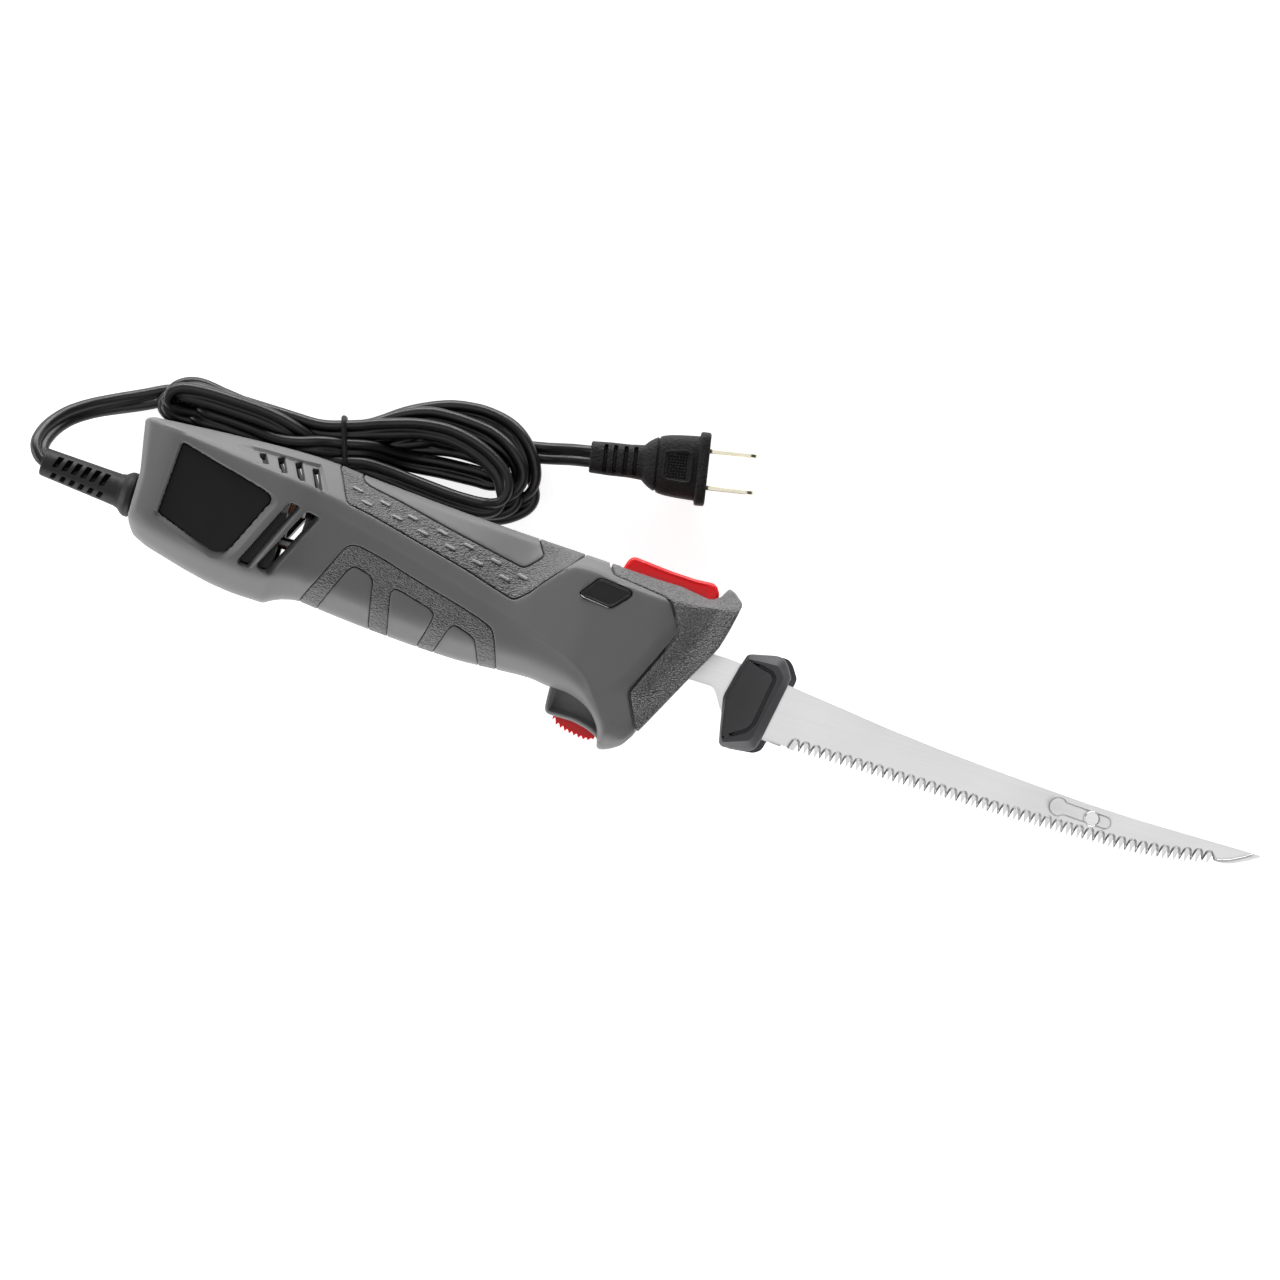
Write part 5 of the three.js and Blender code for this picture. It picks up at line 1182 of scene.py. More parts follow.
REAR_C = resample(fillet(S(REAR), 4.0, 7, closed=False), 0.7, False)
FRONT_C = resample(fillet(S(FRONT), 2.6, 7, closed=False), 0.7, False)
_in = 0.5 * smooth((FRONT_C[:, 1] / K + 36.5) / 2.0)
FRONT_H = FRONT_C - (offset(FRONT_C, 1.0, False) - FRONT_C) * _in[:, None]


def edge_on_sheet(curve, step=0.8):
    fine = resample(curve, 0.03, False)
    p = to_y(fine)
    lo, hi = seam_y(p[:, 0], False), seam_y(p[:, 0], True)
    p = p[(p[:, 1] >= lo - 1e-6) & (p[:, 1] <= hi + 1e-6)]
    return resample(p, step, False)


def sheet_domain(front):
    rear = edge_on_sheet(REAR_C)                   # top to bottom
    fr = edge_on_sheet(front)                      # bottom to top
    rear[0, 1] = seam_y(rear[:1, 0], True)[0]
    rear[-1, 1] = seam_y(rear[-1:, 0], False)[0]
    fr[0, 1] = seam_y(fr[:1, 0], False)[0]
    fr[-1, 1] = seam_y(fr[-1:, 0], True)[0]

    def seam(a, b, top):
        u = np.linspace(a, b, 4000)
        p = np.column_stack([u, seam_y(u, top)])
        return resample(p, 0.9, False)[1:-1]

    return np.vstack([rear, seam(rear[-1, 0], fr[0, 0], False), fr, seam(fr[-1, 0], rear[0, 0], True)]), rear, fr


def soften(p, n, curve, r):
    """Rounds the sheet over towards an end wall; returns normals and how far each point moves."""
    d, k = segment_distance(p[:, :2], curve, False, r + 1)
    seg = np.diff(curve, axis=0)
    seg = np.vstack([seg, seg[-1:]])
    nw = np.column_stack([seg[:, 1], -seg[:, 0], np.zeros(len(seg))])
    nw /= np.linalg.norm(nw, axis=1, keepdims=True)
    t = np.clip(d, 0, r)
    f = np.sqrt(np.maximum(r * r - (r - t) ** 2, 0))
    m = d < r
    n2 = n.copy()
    n2[m] = nw[k[m]] * (r - t[m])[:, None] + n[m] * f[m][:, None]
    n2 /= np.linalg.norm(n2, axis=1, keepdims=True)
    # the drop runs along the wall, so that the sheet's border stays on it
    flat = n - (n * nw[k]).sum(1, keepdims=True) * nw[k]
    flat /= np.maximum(np.linalg.norm(flat, axis=1, keepdims=True), 1e-9)
    return n2, -flat * np.where(m, r - f, 0.0)[:, None]


def seam_drop(q, r=0.35):
    d = np.minimum(seam_y(q[:, 0], True) - q[:, 1], q[:, 1] - seam_y(q[:, 0], False))
    return lip(np.maximum(d, 0), r)


# outlines on the surface
Y_UP = on_sheet(UPPER_GRIP)
Y_UPW = on_sheet(UPPER_WINDOW)
Y_LOW = on_sheet(LOWER_GRIP, 1.2)
Y_LOWW = [on_sheet(w, 1.0) for w in LOWER_WINDOWS]
Y_NOSE = on_sheet(NOSE_GRIP, 1.4)
Y_BADGE = on_sheet(BADGE, 1.0)
Y_SIDE = [on_sheet(v, 0.8, 0.4) for v in SIDE_VENTS]
Y_TOP = [on_sheet(v, 0.28, 0.3) for v in TOP_VENTS]
Y_LOCK = on_sheet(offset(LOCK, 0.2), 0.9, 0.4)
RECESS = S([[33.4, 25.0], [44.8, 25.8], [58, 26.1], [66.8, 26.6], [72.7, 17.3], [72.3, 16.5], [62.6, 18.6], [55.2, 19.7], [43.6, 22.1], [35, 23.2]])
Y_RECESS = on_sheet(RECESS, 0.6)


def seam_hole(u0, u1, top, w):
    u = np.linspace(u0 * K, u1 * K, 80)
    e = seam_y(u, top, w)
    far = seam_y(u, top, GAP_W) + (3.0 if top else -3.0)
    return resample(np.vstack([np.column_stack([u, e]), np.column_stack([u, far])[::-1]]), 0.6)


Y_RELEASE = seam_hole(186.2, 225.8, True, 6.05)
Y_TRIGGER = seam_hole(177.4, 197.0, False, 6.6)
DASHES = [
    (82.5, 21.5), (94, 19.5), (105.5, 17.5), (118, 15.5), (129, 13.5), (140.5, 11), (152, 8.5),
    (87.5, 17.5), (100, 15.7), (111, 13.2), (122.5, 11), (134, 8.5), (145.5, 6),
]
G, G_LOW, G_NOSE, R_LIP, POCKET = 0.16, 0.08, 0.48, 0.5, 1.5


def dash_ends():
    out = []
    for u, v in DASHES:
        a = math.radians(-11)
        d = np.array([math.cos(a), math.sin(a)]) * 1.3
        c = np.array([u, v]) * K
        out.append(to_y(np.array([c - d, c + d])))
    return out


def capsule(a, b, r, n=9):
    d = (b - a) / np.linalg.norm(b - a)
    s = math.atan2(d[1], d[0])
    t1 = np.linspace(s - np.pi / 2, s + np.pi / 2, n)
    t2 = t1 + np.pi
    return np.vstack([b + r * np.stack([np.cos(t1), np.sin(t1)], 1), a + r * np.stack([np.cos(t2), np.sin(t2)], 1)])


def pocket_fields(q):
    """Signed distance to each grip's edge, negative on the grip."""
    up = np.maximum(signed(Y_UP, q, 6), -signed(Y_UPW, q, 6))
    low = signed(Y_LOW, q, 6)
    for w in Y_LOWW:
        low = np.maximum(low, -signed(w, q, 6))
    nose = signed(Y_NOSE, q, 6)
    return up, low, nose


CREASE = 7.2


def nose_valley(p):
    d, _ = segment_distance(p[:, :2], FRONT_C, False, 22)
    keep = smooth((p[:, 1] / K + 26) / 10)
    return 1.5 * keep * np.clip(np.minimum(d / CREASE, (CREASE + 9.5 - d) / 9.5), 0, 1)


def housing_heights(q, p):
    h = np.zeros(len(q))
    up, low, nose = pocket_fields(q)
    for sd, g in ((up, G), (low, G_LOW), (nose, G_NOSE)):
        h -= np.where(sd - g > 0, lip(sd - g, R_LIP), POCKET)
    for hole in (*Y_SIDE, *Y_TOP, Y_LOCK):
        sd = signed(hole, q, 3)
        h -= lip(np.maximum(sd, 0), 0.4)
    # badge seat: a wide slope on its right and lower sides
    d, k = segment_distance(q, Y_BADGE, True, 5)
    ins = inside(Y_BADGE, q)
    a, b = Y_BADGE[k], Y_BADGE[(k + 1) % len(Y_BADGE)]
    t = (b - a) / np.maximum(np.linalg.norm(b - a, axis=1, keepdims=True), 1e-9)
    sign = 1.0 if area2(Y_BADGE) > 0 else -1.0
    nx, ny = sign * t[:, 1], -sign * t[:, 0]
    width = 0.6 + 1.9 * smooth(0.5 + 0.9 * (0.75 * nx - 0.65 * ny))
    h -= np.where(ins, 2.0, 1.15 * (1 - np.clip(d / width, 0, 1)))
    # recess round the upper slots, running out to nothing at its rear end
    sd = signed(Y_RECESS, q, 3)
    deep = 0.95 * np.clip((q[:, 0] / K - 33.4) / 9.0, 0, 1)
    h -= deep * smooth(-sd / 0.9)
    # a slight ridge on the flank's crease
    d, _ = segment_distance(q, belt_line(), False, 3)
    x = q[:, 0] / K
    clear = np.minimum.reduce([up, low, nose]) - 1.4
    h += 0.16 * (1 - smooth(d / 1.3)) * smooth((x - 74) / 14) * smooth((197 - x) / 9) * smooth(clear / 1.0)
    return h


def belt_line():
    u = np.linspace(70 * K, 199 * K, 260)
    return to_y(np.column_stack([u, BELT_V(u)]))


def belt_runs(keep):
    """Rows of points along the crease that runs down the flank, where keep allows them."""
    out = []
    line_ = belt_line()
    for d in (-1.3, -0.8, -0.35, 0.0, 0.35, 0.8, 1.3):
        row = resample(offset(line_, d, False), 0.9, False)
        ok = keep(row)
        start = None
        for i in range(len(row) + 1):
            if i < len(row) and ok[i]:
                start = i if start is None else start
            elif start is not None:
                if i - start > 3:
                    out.append(row[start:i])
                start = None
    return out


def sheet(domain, chains, runs, holes, spacing, clear, coarse=None):
    net = Net(domain)
    net.chain(domain, clip=False)
    for c in chains:
        net.chain(c)
    for c in runs:
        net.chain(c, closed=False)
    if coarse is not None:
        net.fill(spacing, clear, where=lambda p: ~coarse(p))
        net.fill(3.0, 1.2, where=coarse)
    else:
        net.fill(spacing, clear)
    return net.triangles(holes)


def end_wall(q, tris, p_out, edge, curve, notch, thick):
    """The wall that closes the shell at its rear or front end, from the sheet's own border there to the seam."""
    e = {}
    for a, b, c in tris:
        for s in ((a, b), (b, c), (c, a)):
            e[s] = 1
    border = sorted({int(i) for (a, b) in e if (b, a) not in e for i in (a, b)})
    border = np.array(border)
    d, k = segment_distance(q[border], edge, False, 1)
    border = border[d < 3e-3]
    # order them along the edge
    dd, k = segment_distance(q[border], edge, False, 1)
    arc = np.concatenate([[0], np.cumsum(np.linalg.norm(np.diff(edge, axis=0), axis=1))])
    along = arc[k] + np.linalg.norm(q[border] - edge[k], axis=1)
    border = border[np.argsort(along)]
    rim = p_out[border]
    if rim[0, 1] > rim[-1, 1]:
        rim, border = rim[::-1], border[::-1]
    lo, hi = rim[0, 1], rim[-1, 1]
    seam = np.array([[v, GAP_W] for v in np.linspace(hi, lo, 60)])
    poly = np.vstack([rim[:, 1:], seam[1:-1]])
    net = Net(poly)
    net.chain(poly, clip=False)
    net.chain(resample(notch, 0.6))
    net.fill(1.4, 0.6)
    vw, t = net.triangles([notch])
    order = np.argsort(curve[:, 1])
    u = np.interp(vw[:, 0], curve[order, 1], curve[order, 0])
    pts = np.column_stack([u, vw])
    seg = np.gradient(curve[order], axis=0)
    nx = np.interp(vw[:, 0], curve[order, 1], seg[:, 1])
    ny = np.interp(vw[:, 0], curve[order, 1], -seg[:, 0])
    n = np.column_stack([nx, ny, np.zeros(len(nx))])
    n /= np.linalg.norm(n, axis=1, keepdims=True)
    if curve[:, 0].mean() < 50:
        n = -n
    tree = kdtree.KDTree(len(rim))
    for i, r in enumerate(rim):
        tree.insert((r[1], r[2], 0.0), i)
    tree.balance()
    for i, s in enumerate(vw):
        _, j, dist = tree.find((s[0], s[1], 0.0))
        if dist < 2e-3:
            pts[i] = rim[j]
    a = pts[t]
    facing = np.cross(a[:, 1] - a[:, 0], a[:, 2] - a[:, 0])
    flip = (facing * n[t].mean(1)).sum(1) < 0
    t[flip] = t[flip][:, ::-1]
    return pts, pts - n * thick, t


def fuse(parts):
    """One outer and inner sheet from several that share border points."""
    out = np.vstack([p[0] for p in parts])
    inn = np.vstack([p[1] for p in parts])
    tris, n = [], 0
    for p in parts:
        tris.append(p[2] + n)
        n += len(p[0])
    tris = np.vstack(tris)
    keys = np.round(out / 2e-3).astype(np.int64)
    _, first, inv = np.unique(keys, axis=0, return_index=True, return_inverse=True)
    inv = inv.reshape(-1)
    t = inv[tris]
    ok = (t[:, 0] != t[:, 1]) & (t[:, 1] != t[:, 2]) & (t[:, 0] != t[:, 2])
    return out[first], inn[first], t[ok]


def rings_of(outline, offsets):
    return [offset(outline, d) for d in offsets]


def make_housing(side):
    domain, rear, front = sheet_domain(FRONT_H)
    chains = []
    outer = [G + R_LIP, G + 0.5 * R_LIP, G + 0.14 * R_LIP, G, G - 0.06]
    tight = [G_LOW + R_LIP, G_LOW + 0.5 * R_LIP, G_LOW + 0.14 * R_LIP, G_LOW, G_LOW - 0.06]
    wide = [G_NOSE + R_LIP, G_NOSE + 0.5 * R_LIP, G_NOSE + 0.14 * R_LIP, G_NOSE, G_NOSE - 0.06]
    chains += rings_of(Y_UP, outer) + rings_of(Y_LOW, tight) + rings_of(Y_NOSE, wide)
    chains += rings_of(Y_UPW, [-d for d in outer])
    for w in Y_LOWW:
        chains += rings_of(w, [-d for d in tight])
    holes = [*Y_SIDE, *Y_TOP, Y_LOCK, Y_RELEASE, Y_TRIGGER]
    for hole in (*Y_SIDE, *Y_TOP, Y_LOCK):
        chains += rings_of(hole, [0.0, 0.07, 0.2, 0.4])
    chains += [Y_RELEASE, Y_TRIGGER]
    chains += rings_of(Y_BADGE, [0.0, -0.05, 0.35, 0.7, 1.5, 2.3, 2.45, 2.6]) + rings_of(Y_RECESS, [0.0, -0.45, -0.9])
    wells = []
    if side < 0:
        for u, v in SCREWS:
            c = on_sheet(circle((u, v), 2.6, 40), 0.1, 0.45)
            wells.append(c)
            chains += rings_of(c, [0.0, 0.1, 0.3])
        holes += wells
    runs = []
    for r in (0.12, 0.4, 0.8, 1.3, 1.9, 2.6):
        for curve in (REAR_C, FRONT_H):
            runs.append(edge_on_sheet(offset(curve, -r, False), 1.0))
    runs += belt_runs(lambda p: np.minimum.reduce(pocket_fields(p)) > G_NOSE + R_LIP + 0.4)

    def deep(p):
        up, low, nose = pocket_fields(p)
        return (up < -1.0) | (low < -1.0) | (nose < -1.4)

    q, tris = sheet(domain, chains, runs, holes, 1.25, 0.5, deep)
    p, n = surface(q)
    h = housing_heights(q, p) - seam_drop(q)
    for c in wells:
        h -= lip(np.maximum(signed(c, q, 2), 0), 0.3)
    h -= nose_valley(p) * 1.0
    n1, rear_move = soften(p, n, REAR_C, 2.5)
    n1, front_move = soften(p, n1, FRONT_H, 1.6)
    out = p + n * h[:, None] + rear_move + front_move
    # the lock's hole has straight walls
    d = segment_distance(q, Y_LOCK, True, 4)[0]
    out[:, :2] = p[:, :2] + (out[:, :2] - p[:, :2]) * smooth(d)[:, None]
    k = smooth(d / 3.0)[:, None]
    inward = n1 * k + np.array([0.0, 0.0, 1.0]) * (1 - k)
    inward /= np.linalg.norm(inward, axis=1, keepdims=True)
    inn = out - inward * (2.4 - 0.9 * np.clip(-h / POCKET, 0, 1))[:, None]
    # the vents' forward walls slope inwards
    for hole in Y_SIDE:
        d, k = segment_distance(q, hole, True, 1)
        edge = hole[(k + 1) % len(hole)] - hole[k]
        nx = edge[:, 1] * (1 if area2(hole) > 0 else -1)
        ny = -edge[:, 0] * (1 if area2(hole) > 0 else -1)
        ln = np.maximum(np.hypot(nx, ny), 1e-9)
        m = (d < 2e-3) & (nx / ln > 0.5)
        inn[m, 0] -= 1.5
    cord_hole = circle((-5.45, 0.0), 5.1, 60)
    slot = np.array([[-9.4, -2], [3.2, -2], [3.2, 8.7], [-9.4, 8.7]])
    parts = [(out, inn, tris)]
    parts.append(end_wall(q, tris, out, rear, REAR_C, cord_hole, 2.4))
    parts.append(end_wall(q, tris, out, front, FRONT_H, slot, 2.4))
    v, f = close_shell(*fuse(parts))
    bodies = [(v, f)]
    # the collar that the trigger sits in
    pod = resample(fillet(POD, 1.6, 6), 0.45)
    net = Net(pod)
    net.chain(pod, clip=False)
    for d in (0.08, 0.25, 0.55, 0.9, 1.3, 1.8, 2.4, 3.1):
        net.chain(offset(pod, -d))
    net.fill(1.1, 0.45)
    pq, pt = net.triangles()
    pd, _ = segment_distance(pq, pod)
    ph = 10.2 - 1.15 * lip(pd, 1.2) - 1.3 * smooth((pd - 1.2) / 1.9)
    bodies.append(close_shell(np.column_stack([pq, ph]), np.column_stack([pq, np.full(len(pq), 6.6)]), pt))
    rear_block = np.array([[173.8, -23], [174.1, -31], [174.5, -36], [175.4, -37.5], [176.6, -38.0], [177.5, -38.0], [177.5, -23]]) * K
    front_block = np.array([[196.9, -23], [196.9, -41.4], [198.1, -43.5], [203.5, -40.2], [203.5, -23]]) * K
    for blk in (rear_block, front_block):
        bodies.append(slab(resample(fillet(blk, 0.5, 4), 0.8), [(0.0, GAP_W), (0.0, 6.7)]))
    for c, (u, v) in zip(wells, SCREWS):
        a = np.linspace(0, 2 * np.pi, 40, endpoint=False)
        top = float(base(to_y(circle((u, v), 3.2, 40)))[:, 2].min()) - 1.2
        if top < 9.0:
            continue
        tv, tf = [], []
        for r, w in ((2.6, 8.0), (3.1, 8.0), (3.1, top), (2.6, top)):
            tv += [(u + r * math.cos(x), v + r * math.sin(x), w) for x in a]
        for i in range(4):
            for j in range(40):
                k = (j + 1) % 40
                tf.append([i * 40 + j, ((i + 1) % 4) * 40 + j, ((i + 1) % 4) * 40 + k, i * 40 + k])
        bodies.append((np.array(tv), [g[::-1] for g in tf]))
    v, f = join_lists(bodies)
    tag = "right" if side > 0 else "left"
    return piece(f"shell_{tag}", v, f, M_GREY, "handle", (f"housing_{tag}",), sharp=34, mirror=side < 0)


def clamp_sheet(p, step=0.6):
    p = p.copy()
    lo, hi = seam_y(p[:, 0], False), seam_y(p[:, 0], True)
    p[:, 1] = np.clip(p[:, 1], lo, hi)
    return resample(p, step)


def make_grip(name, outline, windows, gap, side, extra=(), front=False):
    edge = offset(outline, -gap)
    if front:
        cut_line = FRONT_C[FRONT_C[:, 1] > -34.4 * K]
        fr = edge_on_sheet(cut_line, 0.6)
        # the grip's own edge from the top seam down to the front edge, then up along the front
        own = edge[(edge[:, 0] < 211.5 * K)]
        start = int(np.argmax(np.diff(np.vstack([own, own[:1]]), axis=0)[:, 0] ** 2 + np.diff(np.vstack([own, own[:1]]), axis=0)[:, 1] ** 2))
        own = np.roll(own, -(start + 1), 0)
        if own[0, 1] < own[-1, 1]:
            own = own[::-1]
        own = own[own[:, 1] <= seam_y(own[:, 0], True) + 1e-6]
        own = own[signed(np.vstack([FRONT_C, [[0, 60]], [[0, -60]]]), base(own)[:, :2], 300) < -0.3]
        top_u = np.linspace(fr[-1, 0], own[0, 0], 400)
        seam = resample(np.column_stack([top_u, seam_y(top_u, True)]), 0.8, False)
        domain = np.vstack([own, fr, seam[1:-1]])
    else:
        domain = clamp_sheet(edge)
    chains, runs, holes = [], [], []
    steps = [gap + 0.07, gap + 0.22, gap + R_LIP]
    chains += rings_of(outline, [-d for d in steps])
    for w in windows:
        holes.append(offset(w, gap))
        chains += rings_of(w, [gap, *steps])
    if front:
        holes.append(Y_RELEASE)
        chains.append(Y_RELEASE)
        for r in (0.25, 0.6, 1.0, CREASE - 0.5, CREASE, CREASE + 0.5):
            runs.append(edge_on_sheet(offset(FRONT_C, -r, False), 0.8))
    for a, b in extra:
        for r in (0.7, 0.85, 1.0, 1.2):
            chains.append(capsule(a, b, r))
    wells = []
    if side < 0:
        for u, v in SCREWS:
            c = on_sheet(circle((u, v), 2.7, 40), 0.1, 0.45)
            if signed(outline, np.array([to_y(np.array([[u, v]]))[0]]), 99)[0] < 3.5:
                wells.append(c)
                holes.append(c)
                chains += rings_of(c, [0.0, 0.15])
    q, tris = sheet(domain, chains, runs, holes, 1.0, 0.45)
    p, n = surface(q)
    sd = signed(outline, q, 8)
    for w in windows:
        sd = np.maximum(sd, -signed(w, q, 8))
    h = -lip(np.maximum(-sd - gap, 0), R_LIP) - seam_drop(q)
    for a, b in extra:
        t = np.clip(((q - a) @ (b - a)) / ((b - a) @ (b - a)), 0, 1)
        d = np.linalg.norm(q - a - t[:, None] * (b - a), axis=1)
        h += 0.18 * smooth((1.2 - d) / 0.5)
    n1, move = n, np.zeros_like(p)
    if front:
        h -= nose_valley(p)
        n1, move = soften(p, n, FRONT_C, 1.1)
    out = p + n * h[:, None] + move
    v, f = close_shell(*fuse([(out, out - n1 * 1.35, tris)]))
    tag = "right" if side > 0 else "left"
    return piece(f"{name}_pad_{tag}", v, f, M_GRIP, "handle", (f"{name}_{tag}",), sharp=34, mirror=side < 0)


def make_strokes(side):
    """The short raised strokes on the upper grip, in a lighter, glossier grey than the grip so that they read as light
    strokes: a painted highlight.
    """
    parts = []
    for a, b in dash_ends():
        rows = [(0.66, -0.1), (0.66, 0.28), (0.62, 0.38), (0.52, 0.47), (0.36, 0.53), (0.18, 0.56)]
        q = np.vstack([capsule(a, b, r, 9) for r, _ in rows] + [a + (b - a) * np.linspace(0, 1, 7)[:, None]])
        h = np.concatenate([np.full(18, w) for _, w in rows] + [np.full(7, 0.57)])
        p, n = surface(q)
        v = p + n * h[:, None]
        f = []
        for i in range(len(rows) - 1):
            for j in range(18):
                k = (j + 1) % 18
                f.append([i * 18 + j, i * 18 + k, (i + 1) * 18 + k, (i + 1) * 18 + j])
        top = (len(rows) - 1) * 18
        mid = len(rows) * 18
        f.append([top + i for i in range(18)])
        f.append([17 - i for i in range(18)])
        parts.append((v[:mid], f))
    v, f = join_lists(parts)
    tag = "right" if side > 0 else "left"
    return piece(f"grip_strokes_{tag}", v, f, M_STROKE_PAINTED_HIGHLIGHT, "handle", (f"upper_grip_{tag}",), sharp=50, mirror=side < 0)


def make_badge(side):
    tag = "right" if side > 0 else "left"
    out = resample(fillet(offset(BADGE, -0.12), 1.0, 6), 0.6)
    net = Net(out)
    net.chain(out, clip=False)
    for d in (0.05, 0.15, 0.3):
        net.chain(offset(out, -d))
    net.fill(1.3, 0.5)
    q, tris = net.triangles()
    d, _ = segment_distance(q, out)
    h = HALF - 0.95 - lip(d, 0.3)
    v, f = close_shell(np.column_stack([q, h]), np.column_stack([q, np.full(len(q), HALF - 1.8)]), tris)
    return piece(f"badge_plate_{tag}", v, f, M_BADGE, "handle", (f"badge_{tag}",), mirror=side < 0)


for s in (1, -1):
    make_housing(s)
    make_grip("upper_grip", Y_UP, [Y_UPW], G, s, extra=dash_ends())
    make_strokes(s)
    make_grip("lower_grip", Y_LOW, Y_LOWW, G_LOW, s)
    make_grip("nose_grip", Y_NOSE, [], G_NOSE, s, front=True)
    make_badge(s)


# ------------------------------------------------------------------ controls
def make_trigger():
    ribs = []
    for i in range(10):
        t = i / 9
        u = 178.4 + 17.2 * t
        arc = float(np.interp(u, [178.4, 180.2, 184.5, 189, 192.3, 194.6, 195.6], [-39.8, -41.3, -42.7, -43.4, -43.6, -43.1, -42.4]))
        ribs.append([u, arc])
        if i < 9:
            ribs.append([u + 0.95, arc + 1.2])
    body = np.array([[178.2, -30], *ribs, [196, -40], [196, -30]]) * K
    body = resample(fillet(body, 0.2, 4), 0.2)
    half = relief(body, (0.05, 0.15, 0.3, 0.5), 0.9, lambda d: 6.0 - lip(d, 0.5), -0.3)
    v, f = join_lists([half, (half[0] * [1, 1, -1], [g[::-1] for g in half[1]])])
    arm = np.array([[161, -28], [166, -28], [166, -24.8], [161, -24.8]])
    v2, f2 = slab(resample(fillet(arm, 0.4, 4), 0.5), round_rings(-3, 3, 0.4, 3, 0.4))
    v, f = join_lists([(v, f), (v2, f2)])
    return piece("trigger_button", v, f, M_RED, "trigger_body", ("trigger",), sharp=32)


def make_release():
    body = resample(fillet(RELEASE, 0.9, 6), 0.5)
    v, f = slab(body, round_rings(-5.7, 5.7, 1.2, 6, 1.2))
    v[:, 2] *= 1 - 0.24 * np.clip((v[:, 1] / K - 23.0) / 5.4, 0, 1)
    yoke = np.array([[172, 6.9], [181, 6.9], [181, 19.6], [172, 19.6]])
    v2, f2 = slab(resample(fillet(yoke, 0.5, 4), 0.6), round_rings(-4.4, 4.4, 0.4, 3, 0.4))
    foot = np.array([[172, 6.9], [181, 6.9], [181, 9.9], [172, 9.9]])
    v3, f3 = slab(resample(fillet(foot, 0.4, 4), 0.6), round_rings(-9.2, 9.2, 0.4, 3, 0.4))
    v, f = join_lists([(v, f), (v2, f2), (v3, f3)])
    return piece("release_button", v, f, M_RED, "release_body", ("release_bar",), sharp=32)


def make_lock():
    out = resample(fillet(LOCK, 0.8, 6), 0.4)
    w1 = HALF + 0.25
    steps = (0.05, 0.15, 0.32, 0.6, 0.75)
    parts = [relief(out, steps, 0.9, lambda d: w1 - lip(d, 0.32) - 0.14 * smooth((d - 0.6) / 0.15), HALF - 6)]
    low = HALF - 3.0
    v, f = relief(out, steps, 0.9, lambda d: low - lip(d, 0.32) - 0.14 * smooth((d - 0.6) / 0.15), low - 5)
    v = v * [1, 1, -1]
    parts.append((v, [g[::-1] for g in f]))
    parts.append(slab(circle((184 * K, 12 * K), 3.0, 32), [(0.0, -16), (0.0, 18)]))
    v, f = join_lists(parts)
    return piece("lock_button", v, f, M_BLACK, "lock_body", ("lock_bolt",), sharp=30)


make_trigger()
make_release()
make_lock()


# ------------------------------------------------------------------ blades and their guards
PHASE2 = 2.07
TEETH = 40
TEETH_U0, TEETH_U1 = 267.2, 434.2


def blade_outline():
    pts = []
    p = (TEETH_U1 - TEETH_U0) / TEETH
    lo = lambda u: float(TOOTH_LOW(u * K)) / K
    hi = lambda u: float(TOOTH_HIGH(u * K)) / K
    for i in range(TEETH, 0, -1):
        u0 = TEETH_U0 + p * (i - 1)
        if i < TEETH:
            pts.append([u0 + p, lo(u0 + p)])
        pts.append([u0 + 0.70 * p, hi(u0 + 0.7 * p) - 0.4])
        pts.append([u0 + 0.60 * p, hi(u0 + 0.6 * p)])
        pts.append([u0 + 0.40 * p, hi(u0 + 0.4 * p)])
        pts.append([u0 + 0.30 * p, hi(u0 + 0.3 * p) - 0.4])
    return np.array(pts)


